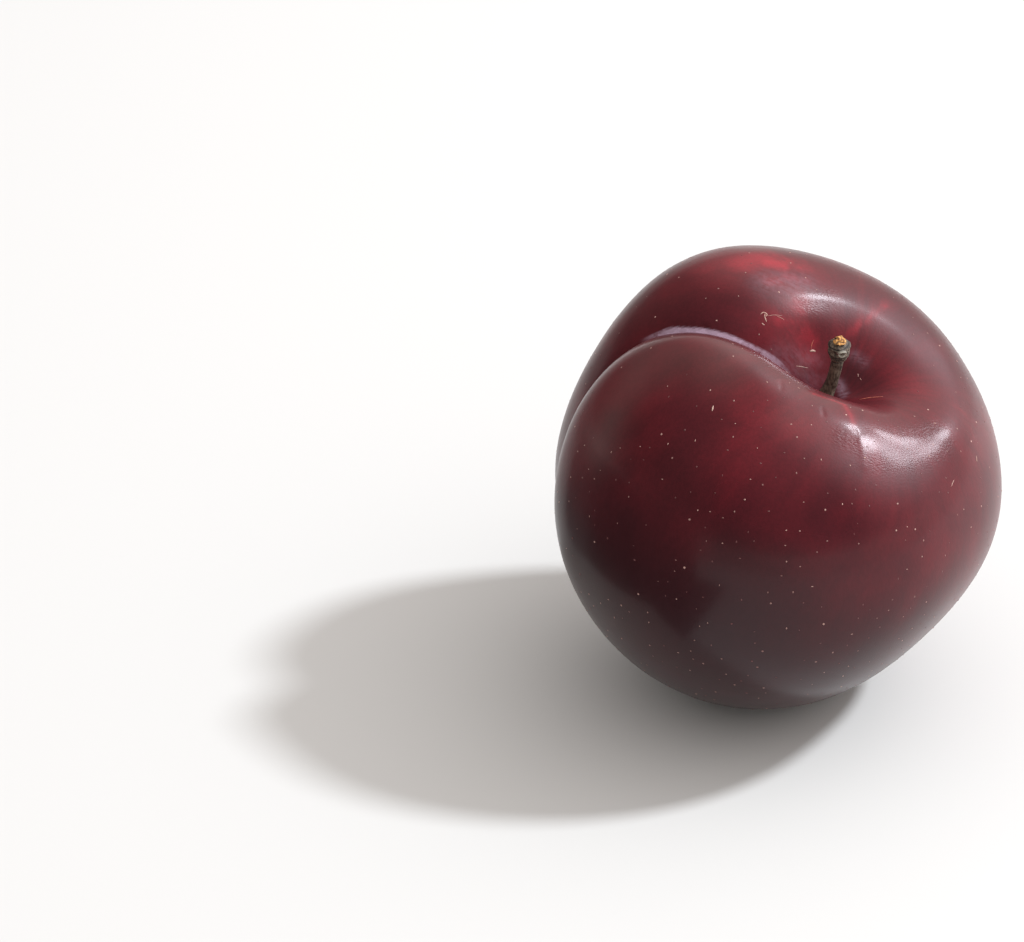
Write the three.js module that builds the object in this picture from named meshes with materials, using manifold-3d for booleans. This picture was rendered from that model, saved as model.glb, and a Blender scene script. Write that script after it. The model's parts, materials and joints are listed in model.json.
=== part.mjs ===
// A ripe plum with its stem, lying tilted on the small flat spot that its own weight presses into it.
// Millimetres, +Z up. The origin is on the surface it rests on, under the middle of its bounding box.
// The fruit is shaped in a frame of its own, +Z to the stem and +X to the suture, and then leant over.
import * as THREE from "three";
import { mergeVertices } from "three/addons/utils/BufferGeometryUtils.js";
import Module from "manifold-3d";

// Driving sizes of the fruit.
const HALF_WIDTH = 30.6; // from the axis to the skin, along the suture
const CHEEK_SHARE = 1.064; // how much wider the fruit is from cheek to cheek
const SHOULDER_SHARE = 0.08; // how much wider the shoulders are than the blossom end
const STEM_END_HEIGHT = 28.6; // from the widest level to the stem end, before the cavity
const BLOSSOM_END_HEIGHT = 28.6; // from the widest level to the blossom end
const FLAT_DEPTH = 0.8; // how far the flat spot is pressed in

// The stem cavity: a broad dip with a deeper funnel in it, set a little off the axis.
const DIP_DEPTH = 6.4;
const DIP_RADIUS = 13;
const FUNNEL_DEPTH = 4.2;
const FUNNEL_RADIUS = 5.3;
const CAVITY_TO_SUTURE = 0.9;
const CAVITY_TO_FAR = 0.5;

// The suture: a soft valley between two lobes, with a sharp crease at its bottom. It sways to the far
// side and back on its way from the stem. All angles are in radians from the stem.
const SUTURE_START = 8; // distance from the axis over which it takes shape
const SUTURE_START_SHARE = 0.2; // of its depth, where it crosses the axis
const SUTURE_FULL_TO = 0.5;
const SUTURE_FADE = 1.24;
const SWAY = 4.5;
const SWAY_FROM_STEM = 1.12;
const SWAY_SPREAD = 0.44;
const FLANK_SWAY = 4.6;
const FLANK_SWAY_FROM = 1.4;
const FLANK_SWAY_OVER = 0.8;
const VALLEY_DEPTH = 2.8;
const VALLEY_END_DEPTH = 1.1;
const VALLEY_RADIUS = 5.9;
const CREASE_DEPTH = 1.45;
const CREASE_END_DEPTH = 0.15;
const CREASE_NEAR_WIDTH = 0.8;
const CREASE_FAR_WIDTH = 1.3;

// The near lobe stands proud of the far one, most of all in a knuckle near the stem.
const LOBE_HEIGHT = 0.6;
const LOBE_GROWTH = 1.9; // for each radian beyond the knuckle
const LOBE_FROM_SUTURE = 8;
const LOBE_RADIUS = 5.5;
const KNUCKLE_HEIGHT = 1.5;
const KNUCKLE_FROM_STEM = 0.7;
const KNUCKLE_SPREAD = 0.25;

// The small dimple at the blossom end.
const BLOSSOM_DIMPLE_DEPTH = 1.2;
const BLOSSOM_DIMPLE_RADIUS = 5;
const END_SHARPNESS = 3; // how soon the cavity and the dimple fade on the other half

// Lopsided growth: soft swellings and hollows, each with its direction, its spread in radians and its height.
const SWELLINGS = [
  { name: "back shoulder", towards: [0.56, -0.64, 0.53], spread: 0.55, height: 4.4 },
  { name: "right shoulder", towards: [-0.18, -0.54, 0.82], spread: 0.55, height: 3.9 },
  { name: "right cheek", towards: [-0.8, -0.15, 0.58], spread: 0.55, height: 1.5 },
  { name: "lower right", towards: [-0.9, 0.44, 0.02], spread: 0.55, height: -2.2 },
  { name: "lower front", towards: [-0.61, 0.69, -0.4], spread: 0.55, height: -0.8 },
  { name: "left flank", towards: [0.92, 0.07, -0.4], spread: 0.55, height: 1.3 },
  { name: "near rim", towards: [0, 0.25, 0.96], spread: 0.22, height: 1.5 },
  { name: "right rim", towards: [-0.38, 0.12, 0.92], spread: 0.2, height: 1.0 },
];

// How the fruit lies.
const LEAN = THREE.MathUtils.degToRad(28.5); // the stem axis off the vertical
const LEAN_TOWARDS = THREE.MathUtils.degToRad(-16.4); // from +X, so to the right and the front
const TURN = THREE.MathUtils.degToRad(-167.5); // of the suture round the axis

// The stem. Shares are of its whole length, from the foot to the tip.
const STEM_TO_SUTURE = 1.8; // how far its foot stands off the axis
const STEM_LENGTH = 9.6; // from the cavity's floor to the tip
const STEM_SUNK = 2.2; // how far its foot goes into the flesh
const STEM_RADIUS = 0.82;
const FOOT_RADIUS = 1.25;
const FOOT_FLARE = 0.22;
const KNOB_RADIUS = 1.42;
const KNOB_FROM = 0.66;
const KNOB_SWELL = 0.1;
const KNOB_RING_HEIGHT = 0.12;
const KNOB_RINGS = 9; // that would fit in the whole length
const TIP_RADIUS = 0.92;
const TIP_FROM = 0.93;
const TIP_TAPER = 0.05;
const TIP_LEAN = [0.13, -0.2, 0.97]; // from the cavity's floor to the tip
const TIP_RISE = [-0.03, -0.21, 0.98]; // the way the stem points at its tip
const FOOT_PULL = 0.2; // how long the stem keeps to the axis, as a share of its length
const TIP_PULL = 0.3;
const SOCKET_GAP = 0.3;

// Facets. The columns crowd at the suture and the rows at the cavity.
const FRUIT_COLUMNS = 72;
const FRUIT_ROWS = 44;
const COLUMN_CROWDING = 0.75;
const ROW_CROWDING = 1.35;
const STEM_SIDES = 16;
const STEM_RINGS = 30;

const SKIN_COLOUR = 0x4a1820;
const STEM_COLOUR = 0x4f4230;

const wasm = await Module();
wasm.setup();

const smooth = (t) => THREE.MathUtils.smoothstep(t, 0, 1);
const bell = (distance, radius) => Math.exp(-((distance / radius) ** 2));

// The height that the swellings add in a direction.
function swelling(direction) {
  let height = 0;
  for (const s of SWELLINGS) {
    const towards = new THREE.Vector3(...s.towards).normalize();
    height += s.height * Math.exp((2 * (direction.dot(towards) - 1)) / s.spread ** 2);
  }
  return height;
}

// How far the suture's middle lies from the fruit's middle plane.
function sutureMiddle(fromStem) {
  const back = FLANK_SWAY * smooth((fromStem - FLANK_SWAY_FROM) / FLANK_SWAY_OVER);
  return back - SWAY * bell(fromStem - SWAY_FROM_STEM, SWAY_SPREAD);
}

// How deep the suture cuts at an angle from the stem and a distance beside its middle.
function sutureDepth(fromStem, beside) {
  const fade = bell(Math.max(fromStem - SUTURE_FULL_TO, 0), SUTURE_FADE);
  const fadeTo = (end, full) => end + (full - end) * fade;
  const beyondKnuckle = fromStem - KNUCKLE_FROM_STEM;
  const knuckle = KNUCKLE_HEIGHT * bell(beyondKnuckle, KNUCKLE_SPREAD);
  const lobeHeight = LOBE_HEIGHT * fade * (1 + LOBE_GROWTH * beyondKnuckle) + knuckle;
  const valley = fadeTo(VALLEY_END_DEPTH, VALLEY_DEPTH) * bell(beside, VALLEY_RADIUS);
  const lobe = lobeHeight * bell(beside - LOBE_FROM_SUTURE, LOBE_RADIUS);
  const width = beside > 0 ? CREASE_NEAR_WIDTH : CREASE_FAR_WIDTH;
  const crease = fadeTo(CREASE_END_DEPTH, CREASE_DEPTH) / (1 + (beside / width) ** 2);
  return valley - lobe + crease;
}

// The skin's point at an angle from the stem and an angle round it from the suture.
function skinPoint(fromStem, round) {
  const direction = new THREE.Vector3(
    Math.sin(fromStem) * Math.cos(round),
    Math.sin(fromStem) * Math.sin(round),
    Math.cos(fromStem),
  );
  const full = HALF_WIDTH * (1 + SHOULDER_SHARE * direction.z);
  const height = direction.z > 0 ? STEM_END_HEIGHT : BLOSSOM_END_HEIGHT;
  const point = direction.clone().multiply(new THREE.Vector3(full, full * CHEEK_SHARE, height));
  const onSutureSide = smooth(point.x / SUTURE_START + SUTURE_START_SHARE);
  const beside = point.y - sutureMiddle(fromStem);
  point.addScaledVector(direction, swelling(direction) - sutureDepth(fromStem, beside) * onSutureSide);
  const fromCavity = Math.hypot(point.x - CAVITY_TO_SUTURE, point.y + CAVITY_TO_FAR);
  const cavity = DIP_DEPTH * bell(fromCavity, DIP_RADIUS) + FUNNEL_DEPTH * bell(fromCavity, FUNNEL_RADIUS);
  const dimple = BLOSSOM_DIMPLE_DEPTH * bell(Math.hypot(point.x, point.y), BLOSSOM_DIMPLE_RADIUS);
  point.z -= cavity * smooth(END_SHARPNESS * direction.z);
  point.z += dimple * smooth(-END_SHARPNESS * direction.z);
  return point;
}

// Where the stem stands on the cavity's floor.
function stemPlace() {
  return new THREE.Vector3(STEM_TO_SUTURE, -CAVITY_TO_FAR, skinPoint(0, 0).z);
}

// A closed mesh becomes a solid that can be cut.
function toSolid(geometry) {
  const bare = geometry.clone();
  bare.deleteAttribute("normal");
  bare.deleteAttribute("uv");
  const merged = mergeVertices(bare, 1e-4);
  return new wasm.Manifold(
    new wasm.Mesh({
      numProp: 3,
      vertProperties: merged.attributes.position.array,
      triVerts: new Uint32Array(merged.index.array),
    }),
  );
}

function toGeometry(solid) {
  const mesh = solid.getMesh();
  const geometry = new THREE.BufferGeometry();
  geometry.setAttribute("position", new THREE.BufferAttribute(mesh.vertProperties, 3));
  geometry.setIndex(new THREE.BufferAttribute(mesh.triVerts, 1));
  geometry.computeVertexNormals();
  return geometry;
}

// The whole skin, in the fruit's own frame.
function fruitSkin() {
  const geometry = new THREE.SphereGeometry(1, FRUIT_COLUMNS, FRUIT_ROWS);
  const position = geometry.attributes.position;
  for (let i = 0; i < position.count; i++) {
    const share = Math.acos(THREE.MathUtils.clamp(position.getY(i), -1, 1)) / Math.PI;
    const even = Math.atan2(position.getX(i), position.getZ(i));
    const point = skinPoint(Math.PI * share ** ROW_CROWDING, even - COLUMN_CROWDING * Math.sin(even));
    position.setXYZ(i, point.x, point.y, point.z);
  }
  return geometry;
}

// The way from the fruit's own frame to how it lies, with its lowest point FLAT_DEPTH under the surface.
function lyingPose(skin) {
  const pose = new THREE.Matrix4()
    .makeRotationZ(LEAN_TOWARDS)
    .multiply(new THREE.Matrix4().makeRotationY(LEAN))
    .multiply(new THREE.Matrix4().makeRotationZ(TURN));
  const leant = skin.clone().applyMatrix4(pose);
  leant.computeBoundingBox();
  const middle = leant.boundingBox.getCenter(new THREE.Vector3());
  const lowest = leant.boundingBox.min.z;
  return new THREE.Matrix4().makeTranslation(-middle.x, -middle.y, -lowest - FLAT_DEPTH).multiply(pose);
}

// The stem's middle line, from its foot in the flesh to its tip.
function stemLine(pose) {
  const floor = stemPlace().applyMatrix4(pose);
  const axis = new THREE.Vector3(0, 0, 1).transformDirection(pose);
  const lean = new THREE.Vector3(...TIP_LEAN).normalize();
  const rise = new THREE.Vector3(...TIP_RISE).normalize();
  const tip = floor.clone().addScaledVector(lean, STEM_LENGTH);
  return new THREE.CubicBezierCurve3(
    floor.clone().addScaledVector(axis, -STEM_SUNK),
    floor.clone().addScaledVector(axis, FOOT_PULL * STEM_LENGTH),
    tip.clone().addScaledVector(rise, -TIP_PULL * STEM_LENGTH),
    tip,
  );
}

// The stem's radius along its length: a flared foot, a thin shaft and a ringed knob that ends in the scar.
function stemRadius(share) {
  const flare = (FOOT_RADIUS - STEM_RADIUS) * bell(share, FOOT_FLARE);
  const inKnob = smooth((share - KNOB_FROM) / KNOB_SWELL);
  const knob = (KNOB_RADIUS - STEM_RADIUS) * inKnob;
  const taper = (KNOB_RADIUS - TIP_RADIUS) * smooth((share - TIP_FROM) / TIP_TAPER);
  const rings = KNOB_RING_HEIGHT * inKnob * Math.sin((share - KNOB_FROM) * 2 * Math.PI * KNOB_RINGS);
  return STEM_RADIUS + flare + knob - taper + rings;
}

function stemGeometry(line) {
  const geometry = new THREE.CylinderGeometry(1, 1, 1, STEM_SIDES, STEM_RINGS);
  const position = geometry.attributes.position;
  const side = new THREE.Vector3(1, 0, 0);
  for (let i = 0; i < position.count; i++) {
    const share = position.getY(i) + 0.5;
    const along = line.getTangent(share);
    const ahead = new THREE.Vector3().crossVectors(along, side).normalize();
    const across = new THREE.Vector3().crossVectors(ahead, along);
    const radius = stemRadius(share);
    const point = line
      .getPoint(share)
      .addScaledVector(across, position.getX(i) * radius)
      .addScaledVector(ahead, -position.getZ(i) * radius);
    position.setXYZ(i, point.x, point.y, point.z);
  }
  return geometry;
}

// The plain hole that the stem's foot stands in.
function socket(pose) {
  const depth = STEM_SUNK + SOCKET_GAP;
  const radius = FOOT_RADIUS + SOCKET_GAP;
  const geometry = new THREE.CylinderGeometry(radius, radius, 2 * depth, STEM_SIDES);
  geometry.rotateX(Math.PI / 2);
  geometry.translate(...stemPlace().toArray());
  return geometry.applyMatrix4(pose);
}

// Everything under the surface, which presses the flat spot.
function underSurface() {
  const size = 4 * HALF_WIDTH;
  return new THREE.BoxGeometry(size, size, size).translate(0, 0, -size / 2);
}

const skin = fruitSkin();
const pose = lyingPose(skin);
const fruitSolid = toSolid(skin.applyMatrix4(pose))
  .subtract(toSolid(underSurface()))
  .subtract(toSolid(socket(pose)));

const fruit = new THREE.Mesh(
  toGeometry(fruitSolid),
  new THREE.MeshStandardMaterial({ color: SKIN_COLOUR, roughness: 0.35, metalness: 0 }),
);
fruit.name = "fruit";

const stem = new THREE.Mesh(
  stemGeometry(stemLine(pose)),
  new THREE.MeshStandardMaterial({ color: STEM_COLOUR, roughness: 0.85, metalness: 0 }),
);
stem.name = "stem";

const plum = new THREE.Group();
plum.add(fruit, stem);

export default plum;
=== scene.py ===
import json
import math

import bpy
import numpy as np
from bpy.props import FloatProperty, FloatVectorProperty, IntProperty, PointerProperty
from mathutils import Matrix, Vector, noise
from mathutils.bvhtree import BVHTree
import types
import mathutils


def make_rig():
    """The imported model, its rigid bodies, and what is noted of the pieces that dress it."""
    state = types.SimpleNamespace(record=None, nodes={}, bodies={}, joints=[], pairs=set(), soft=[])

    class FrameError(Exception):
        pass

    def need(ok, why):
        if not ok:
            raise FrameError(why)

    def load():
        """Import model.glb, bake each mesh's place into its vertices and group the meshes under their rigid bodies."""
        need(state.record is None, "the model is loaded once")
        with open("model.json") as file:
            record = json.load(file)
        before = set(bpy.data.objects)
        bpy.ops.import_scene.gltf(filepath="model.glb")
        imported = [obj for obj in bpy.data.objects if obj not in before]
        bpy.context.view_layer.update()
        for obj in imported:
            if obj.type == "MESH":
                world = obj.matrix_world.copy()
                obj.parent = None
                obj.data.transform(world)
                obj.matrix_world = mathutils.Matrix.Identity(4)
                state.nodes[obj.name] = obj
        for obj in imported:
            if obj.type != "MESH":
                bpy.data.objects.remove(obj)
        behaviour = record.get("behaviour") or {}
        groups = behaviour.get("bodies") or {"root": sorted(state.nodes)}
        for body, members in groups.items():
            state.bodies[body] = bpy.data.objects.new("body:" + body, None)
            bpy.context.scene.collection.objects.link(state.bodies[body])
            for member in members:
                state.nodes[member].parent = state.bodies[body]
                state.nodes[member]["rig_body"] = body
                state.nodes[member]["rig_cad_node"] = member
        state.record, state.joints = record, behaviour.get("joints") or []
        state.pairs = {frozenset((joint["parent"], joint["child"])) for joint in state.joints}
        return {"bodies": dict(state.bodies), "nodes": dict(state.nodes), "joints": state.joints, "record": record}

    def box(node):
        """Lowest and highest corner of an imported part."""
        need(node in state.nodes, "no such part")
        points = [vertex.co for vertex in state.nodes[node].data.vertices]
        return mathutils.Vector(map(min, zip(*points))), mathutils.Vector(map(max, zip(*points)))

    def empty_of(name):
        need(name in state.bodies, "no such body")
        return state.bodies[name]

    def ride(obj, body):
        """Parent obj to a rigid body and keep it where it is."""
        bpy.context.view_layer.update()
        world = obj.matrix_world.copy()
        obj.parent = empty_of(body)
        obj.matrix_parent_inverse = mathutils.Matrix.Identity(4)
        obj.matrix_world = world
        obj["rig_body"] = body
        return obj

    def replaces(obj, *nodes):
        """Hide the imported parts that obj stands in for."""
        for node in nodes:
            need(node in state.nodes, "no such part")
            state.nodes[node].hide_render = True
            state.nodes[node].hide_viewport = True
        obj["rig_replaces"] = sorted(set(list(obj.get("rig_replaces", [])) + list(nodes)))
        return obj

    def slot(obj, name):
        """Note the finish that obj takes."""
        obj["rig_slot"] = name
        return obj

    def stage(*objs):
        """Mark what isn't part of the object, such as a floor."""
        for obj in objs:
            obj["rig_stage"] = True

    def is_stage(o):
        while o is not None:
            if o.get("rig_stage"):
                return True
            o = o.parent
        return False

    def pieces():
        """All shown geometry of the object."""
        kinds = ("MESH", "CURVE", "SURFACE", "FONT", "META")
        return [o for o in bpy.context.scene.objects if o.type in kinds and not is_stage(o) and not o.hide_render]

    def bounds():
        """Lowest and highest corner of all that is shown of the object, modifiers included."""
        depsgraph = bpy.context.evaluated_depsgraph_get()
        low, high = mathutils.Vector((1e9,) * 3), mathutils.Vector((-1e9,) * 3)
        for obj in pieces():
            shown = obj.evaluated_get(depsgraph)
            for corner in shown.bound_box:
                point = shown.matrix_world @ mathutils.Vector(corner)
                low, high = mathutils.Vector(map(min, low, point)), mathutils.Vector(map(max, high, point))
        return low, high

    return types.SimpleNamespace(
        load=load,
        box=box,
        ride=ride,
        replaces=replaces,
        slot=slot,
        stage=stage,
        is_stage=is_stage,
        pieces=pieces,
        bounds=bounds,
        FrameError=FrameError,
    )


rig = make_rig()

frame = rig.load()
CAD_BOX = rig.bounds()
FRUIT_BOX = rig.box("fruit")

bl_info = {
    "name": "Ripe plum",
    "version": (1, 0, 0),
    "blender": (4, 5, 0),
    "location": "View3D > Sidebar > Plum",
    "description": "Makes a ripe plum with its stem, its lenticels and its marks on a pale studio floor",
    "category": "Object",
}

MM = 0.001
SIZE_FILE = "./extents.json"
ROOT_BODY = "root"

# The fruit's body.
HALF_WIDTH = 30.6 * MM
CHEEK_SHARE = 1.064
SHOULDER_SHARE = 0.08
STEM_END_HEIGHT = 28.6 * MM
BLOSSOM_END_HEIGHT = 28.6 * MM
FLAT_DEPTH = 0.8 * MM
FLAT_ROUNDING = 0.2 * MM

# The stem cavity: a broad dip with a deeper funnel in it, and a ring pressed in round the stem's foot.
DIP_DEPTH = 6.4 * MM
DIP_RADIUS = 13 * MM
FUNNEL_DEPTH = 4.2 * MM
FUNNEL_RADIUS = 5.3 * MM
CAVITY_TO_SUTURE = 0.9 * MM
CAVITY_TO_FAR = 0.5 * MM
FOOT_RING_DEPTH = 0.4 * MM
FOOT_RING_RADIUS = 1.5 * MM
FOOT_RING_WIDTH = 0.5 * MM

# The suture: a soft valley between two lobes, with a sharp crease at its bottom. It sways to the far
# side and back on its way from the stem.
SUTURE_START = 8 * MM
SUTURE_START_SHARE = 0.2
SUTURE_FULL_TO = 0.5
SUTURE_FADE = 1.24
SWAY = 4.5 * MM
SWAY_FROM_STEM = 1.12
SWAY_SPREAD = 0.44
FLANK_SWAY = 4.6 * MM
FLANK_SWAY_FROM = 1.4
FLANK_SWAY_OVER = 0.8
VALLEY_DEPTH = 2.8 * MM
VALLEY_END_DEPTH = 1.1 * MM
VALLEY_RADIUS = 5.9 * MM
CREASE_DEPTH = 1.45 * MM
CREASE_END_DEPTH = 0.15 * MM
CREASE_NEAR_WIDTH = 0.8 * MM
CREASE_FAR_WIDTH = 1.3 * MM

# The near lobe stands proud of the far one, most of all in a knuckle near the stem.
LOBE_HEIGHT = 0.6 * MM
LOBE_GROWTH = 1.9
LOBE_FROM_SUTURE = 8 * MM
LOBE_RADIUS = 5.5 * MM
KNUCKLE_HEIGHT = 1.5 * MM
KNUCKLE_FROM_STEM = 0.70
KNUCKLE_SPREAD = 0.25

# The dimple at the blossom end.
BLOSSOM_DIMPLE_DEPTH = 1.2 * MM
BLOSSOM_DIMPLE_RADIUS = 5 * MM
END_SHARPNESS = 3

# Lopsided growth: soft swellings and hollows, each towards a direction, with its spread in radians and
# its height.
SWELLINGS = [
    ("back shoulder", (0.56, -0.64, 0.53), 0.55, 4.4 * MM),
    ("right shoulder", (-0.18, -0.54, 0.82), 0.55, 3.9 * MM),
    ("right cheek", (-0.8, -0.15, 0.58), 0.55, 1.5 * MM),
    ("lower right", (-0.9, 0.44, 0.02), 0.55, -2.2 * MM),
    ("lower front", (-0.61, 0.69, -0.4), 0.55, -0.8 * MM),
    ("left flank", (0.92, 0.07, -0.4), 0.55, 1.3 * MM),
    ("near rim", (0.0, 0.25, 0.96), 0.22, 1.5 * MM),
    ("right rim", (-0.38, 0.12, 0.92), 0.2, 1.0 * MM),
]

# How the fruit lies, and from how many places of its skin on a half turn its size is found as it lies.
LEAN_SAMPLES = 181
LEAN = math.radians(28.5)
LEAN_TOWARDS = math.radians(-16.4)
TURN = math.radians(-167.5)

# Uneven growth finer than the swellings: (wavelength, height).
RIPPLES = [(16 * MM, 0.10 * MM), (6 * MM, 0.025 * MM)]

# The stem. Shares are of its whole length, from the foot to the tip.
STEM_TO_SUTURE = 1.8 * MM
STEM_LENGTH = 9.6 * MM
STEM_SUNK = 2.2 * MM
STEM_RADIUS = 0.82 * MM
FOOT_RADIUS = 1.25 * MM
FOOT_FLARE = 0.22
KNOB_RADIUS = 1.42 * MM
KNOB_FROM = 0.66
KNOB_SWELL = 0.1
KNOB_RING_HEIGHT = 0.12 * MM
KNOB_RINGS = 9
TIP_RADIUS = 0.92 * MM
TIP_FROM = 0.93
TIP_TAPER = 0.05
TIP_LEAN = Vector((0.13, -0.2, 0.97))
TIP_RISE = Vector((-0.03, -0.21, 0.98))
FOOT_PULL = 0.2
TIP_PULL = 0.3

# The bark: how rough it is, creases round the knob, the scar of a side stalk and the broken tip.
BARK_ROUGHNESS = 0.05 * MM
KNOB_ROUGHNESS = 0.13 * MM
KNOB_CREASES = [0.68, 0.745, 0.80, 0.935]
KNOB_CREASE_DEPTH = 0.13 * MM
KNOB_CREASE_WIDTH = 0.010
LUMP_SIZE = 0.8 * MM
LUMP_STRETCH = 0.9
STRAND_SIZE = 0.35 * MM
STRAND_STRETCH = 0.12
CREASE_WANDER = 0.02
CREASE_WANDER_SIZE = 1.3 * MM
SCAR_SHARE = 0.87
SCAR_ROUND = math.radians(-78)
SCAR_RING_RADIUS = 0.50 * MM
SCAR_RING_WIDTH = 0.16 * MM
SCAR_RING_HEIGHT = 0.20 * MM
SCAR_PIT_DEPTH = 0.16 * MM
SCAR_PIT_WIDTH = 0.24 * MM
SCAR_CLEAR = 1.6
TIP_DOME = 0.30 * MM
TIP_JAGS = 0.28 * MM
TIP_STEP = 0.13 * MM
TIP_STEP_AT = 0.15
TIP_STEP_SLANT = 0.3
JAG_SIZE = 0.45
JAG_PLACE = (3.1, 1.7, 0.4)
HOLLOW_SHARE = 1.8
BARE_FROM = TIP_FROM + 0.055
BARE_EDGE = 0.02

# The photo's frame and the camera that took it.
IMAGE_WIDTH = 1024
IMAGE_HEIGHT = 942
CAMERA_PLACE = Vector((-0.0370, -0.5228, 0.3224))
CAMERA_DOWN = math.radians(29)
CAMERA_LENS = 151.45
SENSOR_WIDTH = 36.0

# Faces: rings and sides of a mark and of a lenticel, rings across the stem's tip, and how closely the
# fruit's rows crowd at its stem end and its columns at the suture.
WEAL_RINGS = 15
WEAL_SIDES = 8
LENTICEL_SIDES = 8
LENTICEL_RINGS = 5
TIP_RINGS = 14
ROW_CROWDING = 1.35
COLUMN_CROWDING = 0.6

# The studio. Each gloss lamp has its elevation, its azimuth, its width and its share of their power.
LAMP_DISTANCE = 1.4
KEY_COLOUR = (0.96, 1.0, 1.035)
GLOSS_COLOUR = (0.96, 0.96, 1.05)
GLOSS_LAMPS = [
    ("gloss_light", math.radians(42), math.radians(12.5), 0.20, 0.38),
    ("gloss_light_side", math.radians(48), math.radians(23), 0.12, 0.18),
    ("gloss_window", math.radians(34), math.radians(17), 0.28, 0.26),
    ("gloss_window_side", math.radians(30), math.radians(30), 0.24, 0.22),
]
WINDOW_TOWARDS = (0.62, 0.62, 0.48)
CARD_AZIMUTH = math.radians(204)
CARD_DISTANCE = 60 * MM
CARD_SIZE = (76 * MM, 48 * MM)
LOW_CARD = [
    (-90 * MM, -130 * MM),
    (-56 * MM, -130 * MM),
    (-28 * MM, -34 * MM),
    (-90 * MM, -34 * MM),
]
CARD_LIFT = 0.5 * MM
CARD_COLOUR = (0.03, 0.006, 0.008)
CARD_ROUGHNESS = 0.9
FLOOR_DROP = 0.05 * MM
CAMERA_REACH = 100

# Where the sky passes from dark to bright: with the height, with the side, towards the window and down to
# the low wall.
SKY_RISES = (0.0, 0.7)
SKY_SIDES = (-0.6, 0.6)
WINDOW_EDGES = (0.4, 0.97)
WALL_EDGES = (0.15, 0.24)

# Redder patches of the skin, each along a line of photo pixels: (name, pixels, radius, strength).
RED_PATCHES = [
    ("top of the back shoulder", [(742, 262), (772, 256), (794, 264)], 3.7 * MM, 0.75),
    ("middle of the top", [(768, 262), (782, 264)], 2.2 * MM, 1.0),
    ("down the back shoulder", [(796, 280), (800, 308)], 3.2 * MM, 0.62),
    ("inside the back shoulder", [(798, 324), (803, 340), (810, 352)], 3.0 * MM, 0.62),
    ("far wall", [(782, 318), (798, 330), (812, 344)], 2.6 * MM, 0.7),
    ("cavity left of the stem", [(786, 362), (812, 378)], 1.8 * MM, 0.4),
    # Partly painted highlight: the lighter pink halo beside the far highlight.
    ("left of the far highlight", [(772, 281), (804, 282)], 2.4 * MM, 0.62),
    ("streak out of the cavity", [(846, 335), (866, 320), (888, 304)], 1.2 * MM, 0.66),
    ("cavity's right wall", [(866, 352), (880, 372), (872, 390)], 3.0 * MM, 0.35),
    ("far shoulder", [(612, 330), (640, 300), (690, 275), (730, 262)], 4.0 * MM, 0.42),
    ("near lobe", [(712, 372), (735, 390), (742, 430), (725, 460)], 4.5 * MM, 0.34),
    ("near rim", [(770, 410), (800, 425)], 4.0 * MM, 0.4),
    ("below the near highlight", [(866, 462), (870, 500)], 3.0 * MM, 0.4),
    ("sunny side", [(920, 390), (955, 440), (955, 465)], 7.0 * MM, 0.42),
    ("right flank", [(958, 400), (972, 450)], 4.2 * MM, 0.5),
    ("front", [(765, 505), (828, 512)], 4.2 * MM, 0.12),
    ("line along the rim", [(814, 394), (832, 400), (845, 405)], 0.45 * MM, 0.8),
    ("line off the rim", [(846, 407), (851, 416), (853, 423)], 0.7 * MM, 0.65),
]

# Waxy bloom, in the same form.
BLOOM_PATCHES = [
    ("cavity left of the stem", [(776, 357), (795, 368), (812, 380), (822, 387)], 1.6 * MM, 0.07),
    ("up the cavity's left wall", [(790, 354), (815, 362)], 1.3 * MM, 0.08),
    ("right of the stem's foot", [(839, 384), (843, 394)], 0.7 * MM, 0.30),
    ("right of the knob", [(855, 356), (864, 362)], 0.8 * MM, 0.13),
    # Partly painted highlight: the lighter pink halo beside the far highlight.
    ("left of the far highlight", [(768, 282), (802, 284)], 2.4 * MM, 0.12),
]

# Thin tan-grey haze, in the same form: partly haze on the skin and partly painted sheen, the light reflected on the
# lobes' tops, along the near lobe's edge and the top edge, and the halos beside the highlights.
HAZE_AND_SHEEN_PATCHES = [
    # Partly painted sheen: the light reflected on the near lobe, over a thin haze.
    ("far left of the near lobe", [(600, 440), (618, 395), (645, 365)], 3.8 * MM, 0.17),
    ("top of the near lobe", [(645, 362), (690, 350), (730, 362)], 4.4 * MM, 0.165),
    ("near lobe by the cavity", [(745, 362), (790, 386), (825, 402)], 2.6 * MM, 0.10),
    # Painted reflection: the light caught along the near lobe's edge.
    ("line on the near lobe's edge", [(768, 373), (790, 384), (813, 395)], 0.35 * MM, 0.05),
    # Painted highlight: the halo beside the near highlight.
    ("left of the near highlight", [(795, 412), (825, 428)], 3.2 * MM, 0.07),
    ("far shoulder", [(650, 305), (695, 280), (740, 272)], 4.0 * MM, 0.05),
    # Painted highlight: the halo beside the far highlight.
    ("left of the far highlight", [(770, 284), (800, 292)], 2.8 * MM, 0.11),
    # Painted reflection: the light along the fruit's top edge.
    ("top edge", [(745, 248), (790, 250)], 1.6 * MM, 0.17),
]

# Where the wax is combed into fine streaks that run from left to right.
COMBED_PATCHES = [
    ("left of the near highlight", [(842, 436), (858, 442)], 1.5 * MM, 1.0),
    ("near highlight", [(876, 447), (900, 446), (938, 436)], 2.4 * MM, 1.9),
    ("far highlight", [(806, 300), (830, 298)], 1.6 * MM, 0.7),
]

# Where the wax is rubbed off and the gloss is sharper.
RUBBED_PATCHES = [
    ("far wall", [(768, 334), (790, 322), (810, 322)], 3.0 * MM, 1.0),
    ("front", [(730, 500), (770, 510), (835, 518)], 4.6 * MM, 1.0),
]

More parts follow.
